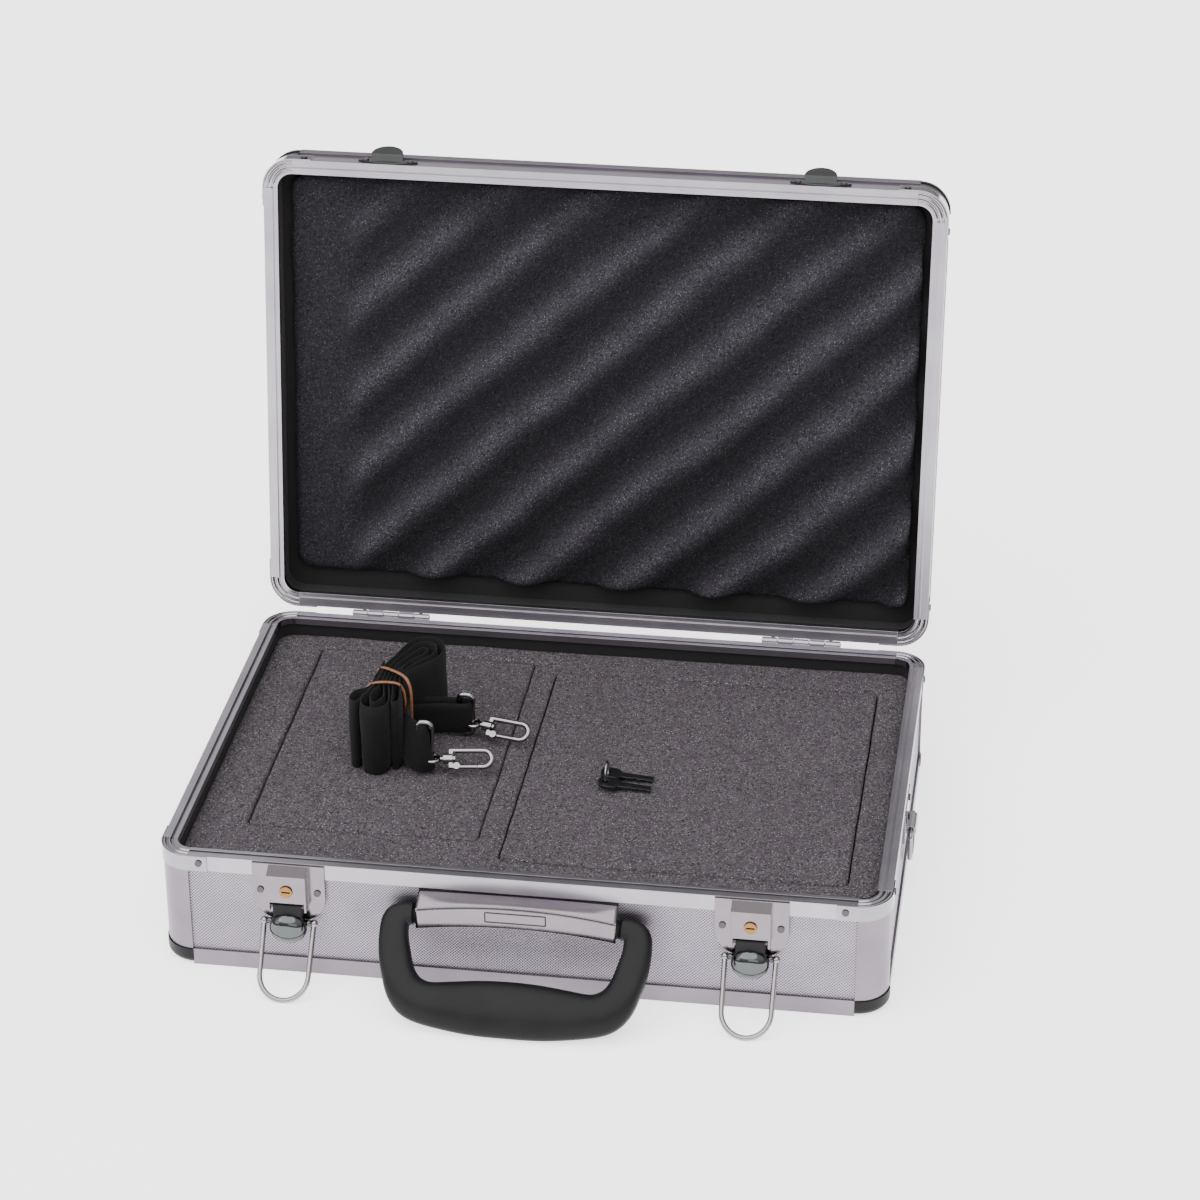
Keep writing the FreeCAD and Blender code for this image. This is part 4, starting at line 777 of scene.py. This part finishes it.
def make_cover():
    """Pressed cover over the handle's pins: arched face, fine groove and a shoulder."""
    half, face_y, wall_y, top = 47.0, -130.2, -119.2, 52.5
    steps = 64

    def crease_at(x):
        """Height of the groove that runs along the arched face."""
        return 47.4 + 4.2 * (1 - (x / half) ** 2)

    rings = []
    for i in range(steps + 1):
        x = -half + 2 * half * i / steps
        arch = 1 - (x / half) ** 2
        low = 36.6 + 3.8 * arch
        crease = crease_at(x)
        outside = [(face_y + 0.6, low), (face_y + 0.1, low + 0.1), (face_y, low + 0.5),
                   (face_y, low + 4), (face_y, crease - 1.2), (face_y, crease - 0.55),
                   (face_y + 0.9, crease - 0.45), (face_y + 0.9, crease - 0.2),
                   (face_y + 0.05, crease - 0.05), (face_y + 0.9, crease + 0.6)]
        for share in (0.25, 0.5, 0.75, 1.0):
            y = face_y + 0.9 + (wall_y - face_y - 0.9) * share
            z = crease + 0.55 + (top - crease - 0.55) * share + 0.5 * math.sin(math.pi * share)
            outside.append((y, z))
        inside = [(wall_y, top - 1.0), (face_y + 2.4, crease - 1.0), (face_y + 1.5, crease - 2),
                  (face_y + 0.9, low + 4)]
        rings.append([Vector((x, y, z)) for y, z in outside + inside])
    verts, faces = skin_rings(rings)
    cover = new_piece("handle_cover", verts, faces, cover_chrome)
    # painted shade: dark tubes along the embossed frame and in the groove stand in for their shadow lines
    frame_path = []
    for x, z in ((-14.2, 43.9), (-14.2, 49.0), (14.2, 49.0), (14.2, 43.9)):
        frame_path.append(Vector((x, face_y, z - 0.25)))
    corners = []
    for a, b in zip(frame_path, frame_path[1:] + frame_path[:1]):
        corners += [a.lerp(b, share) for share in (0.02, 0.25, 0.5, 0.75, 0.98)]
    frame_verts, frame_faces = tube(corners, 0.35, closed=True, sides=8)
    line = [Vector((x, face_y + 0.1, crease_at(x) - 0.35)) for x in range(-46, 47, 2)]
    crease_verts, crease_faces = tube(line, 0.3, sides=8)
    shade_lines = new_piece("cover_shade_lines", *joined([(frame_verts, frame_faces),
                                               (crease_verts, crease_faces)]), dark_chrome)
    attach(cover, "base")
    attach(shade_lines, "base")
    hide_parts("handle_bracket")


LATCH_X = 109.0
BAIL_PIN = (-123.4, 30.5)
DOME_Z, DOME_DEEP, DOME_WIDE, DOME_TALL = 28.9, 5.6, 9.0, 7.9


def make_latch_levers():
    """Domed thumb piece on an arm up to the pivot pin, one for each latch."""
    for side, name in ((-1, "left"), (1, "right")):
        x = LATCH_X * side
        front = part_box(f"latch_lever_{name}")[0][1] / MM
        centre = Vector((x, front + DOME_DEEP, DOME_Z))
        profile = [(1.0, -0.1), (1.0, 0.5), (0.99, 1.1), (0.955, 1.9), (0.89, 2.9), (0.78, 3.9),
                   (0.62, 4.7), (0.43, 5.25), (0.22, 5.5), (0.03, 5.6)]
        rings = []
        for share, out in profile:
            angles = [2 * math.pi * k / 48 for k in range(48)]
            rings.append([centre + Vector((DOME_WIDE * share * math.cos(a), -out,
                                           DOME_TALL * share * math.sin(a))) for a in angles])
        parts = [skin_rings(rings)]
        arm = [Vector((x + across, y, z)) for across in (-6.8, 6.8)
               for y, z in ((-122.2, 30.0), (-122.2, 40.8), (-124.4, 42.2), (-126.2, 41.0),
                            (-126.6, 36.0), (-125.6, 30.0))]
        arm_verts, arm_faces = skin_rings([arm[:6], arm[6:]])
        # painted shade: the arm is black so it shows as the dark shadow band under the lock housing
        back = new_piece(f"latch_shade_arm_{name}", arm_verts, arm_faces, plastic, smooth=False)
        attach(back, f"lever_{name}")
        for end in (-1, 1):
            trunnion = [Vector((x + end * across, *BAIL_PIN)) for across in (7.0, 11.0)]
            parts.append(tube(trunnion, 1.5))
        piece = new_piece(f"latch_dome_{name}", *joined(parts), dome_chrome)
        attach(piece, f"lever_{name}")
        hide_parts(f"latch_lever_{name}")


make_latch_levers()
make_lid_foam()
make_base_foam()
make_strap()
make_bands()
make_strap_rings()
make_grip()
make_cover()


# ---------------------------------------------------------------- stage, lights and camera

def make_floor():
    half = 6.0
    mesh = bpy.data.meshes.new("floor")
    mesh.from_pydata([(-half, -half, 0), (half, -half, 0), (half, half, 0), (-half, half, 0)],
                     [], [(0, 1, 2, 3)])
    mesh.materials.append(floor_material())
    floor = bpy.data.objects.new("floor", mesh)
    bpy.context.scene.collection.objects.link(floor)


def aim(thing, target):
    direction = Vector(target) - thing.location
    thing.rotation_euler = direction.to_track_quat("-Z", "Y").to_euler()


def soft_light(name, place, target, size, power):
    lamp = bpy.data.lights.new(name, "AREA")
    lamp.shape = "RECTANGLE"
    lamp.size, lamp.size_y = size
    lamp.energy = power
    thing = bpy.data.objects.new(name, lamp)
    bpy.context.scene.collection.objects.link(thing)
    thing.location = place
    aim(thing, target)


def make_world():
    world = bpy.data.worlds.new("studio")
    bpy.context.scene.world = world
    world.use_nodes = True
    tree = world.node_tree
    back = tree.nodes["Background"]
    place = tree.nodes.new("ShaderNodeTexCoord")
    split = tree.nodes.new("ShaderNodeSeparateXYZ")
    ramp = tree.nodes.new("ShaderNodeValToRGB")
    tree.links.new(place.outputs["Generated"], split.inputs[0])
    tree.links.new(split.outputs["Z"], ramp.inputs["Fac"])
    tree.links.new(ramp.outputs["Color"], back.inputs["Color"])
    bar = ramp.color_ramp
    for element, (position, grey) in zip(
            [bar.elements[0], bar.elements[1], bar.elements.new(0.22), bar.elements.new(0.5)],
            [(0.0, 0.30), (1.0, 1.30), (0.22, 0.55), (0.5, 1.0)]):
        element.position = position
        element.color = (grey, grey, grey, 1)
    back.inputs["Strength"].default_value = 1.1


CAMERA = {
    "aim": (21.1 * MM, 0.0, 145.8 * MM),
    "azimuth": 8.51,
    "elevation": 28.55,
    "roll": -0.32,
    "distance": 1728.3 * MM,
    "lens": 108.04,
}


def make_camera():
    azimuth = math.radians(CAMERA["azimuth"])
    elevation = math.radians(CAMERA["elevation"])
    back = Vector((math.sin(azimuth) * math.cos(elevation),
                   -math.cos(azimuth) * math.cos(elevation), math.sin(elevation)))
    data = bpy.data.cameras.new("camera")
    data.lens = CAMERA["lens"]
    data.sensor_width = 36.0
    camera = bpy.data.objects.new("camera", data)
    bpy.context.scene.collection.objects.link(camera)
    right = (-back).cross(Vector((0, 0, 1))).normalized()
    up = right.cross(-back)
    roll = math.radians(CAMERA["roll"])
    turned_right = math.cos(roll) * right + math.sin(roll) * up
    turned_up = -math.sin(roll) * right + math.cos(roll) * up
    pose = Matrix((turned_right, turned_up, back)).transposed().to_4x4()
    pose.translation = Vector(CAMERA["aim"]) + back * CAMERA["distance"]
    camera.matrix_world = pose
    bpy.context.scene.camera = camera


def sky_light(strength, spread, direction):
    """Broad even light from overhead that reaches the whole floor alike."""
    lamp = bpy.data.lights.new("sky_light", "SUN")
    lamp.energy = strength
    lamp.angle = math.radians(spread)
    thing = bpy.data.objects.new("sky_light", lamp)
    bpy.context.scene.collection.objects.link(thing)
    thing.location = direction
    aim(thing, (0, 0, 0))


make_floor()
make_world()
sky_light(3.25, 80, (-0.15, -0.45, 1.0))
soft_light("left_light", (-1.5, -0.9, 0.9), (0, 0, 0.05), (0.9, 1.2), 5)
soft_light("front_light", (0.6, -2.2, 0.7), (0, -0.1, 0.05), (1.6, 0.5), 4)
make_camera()
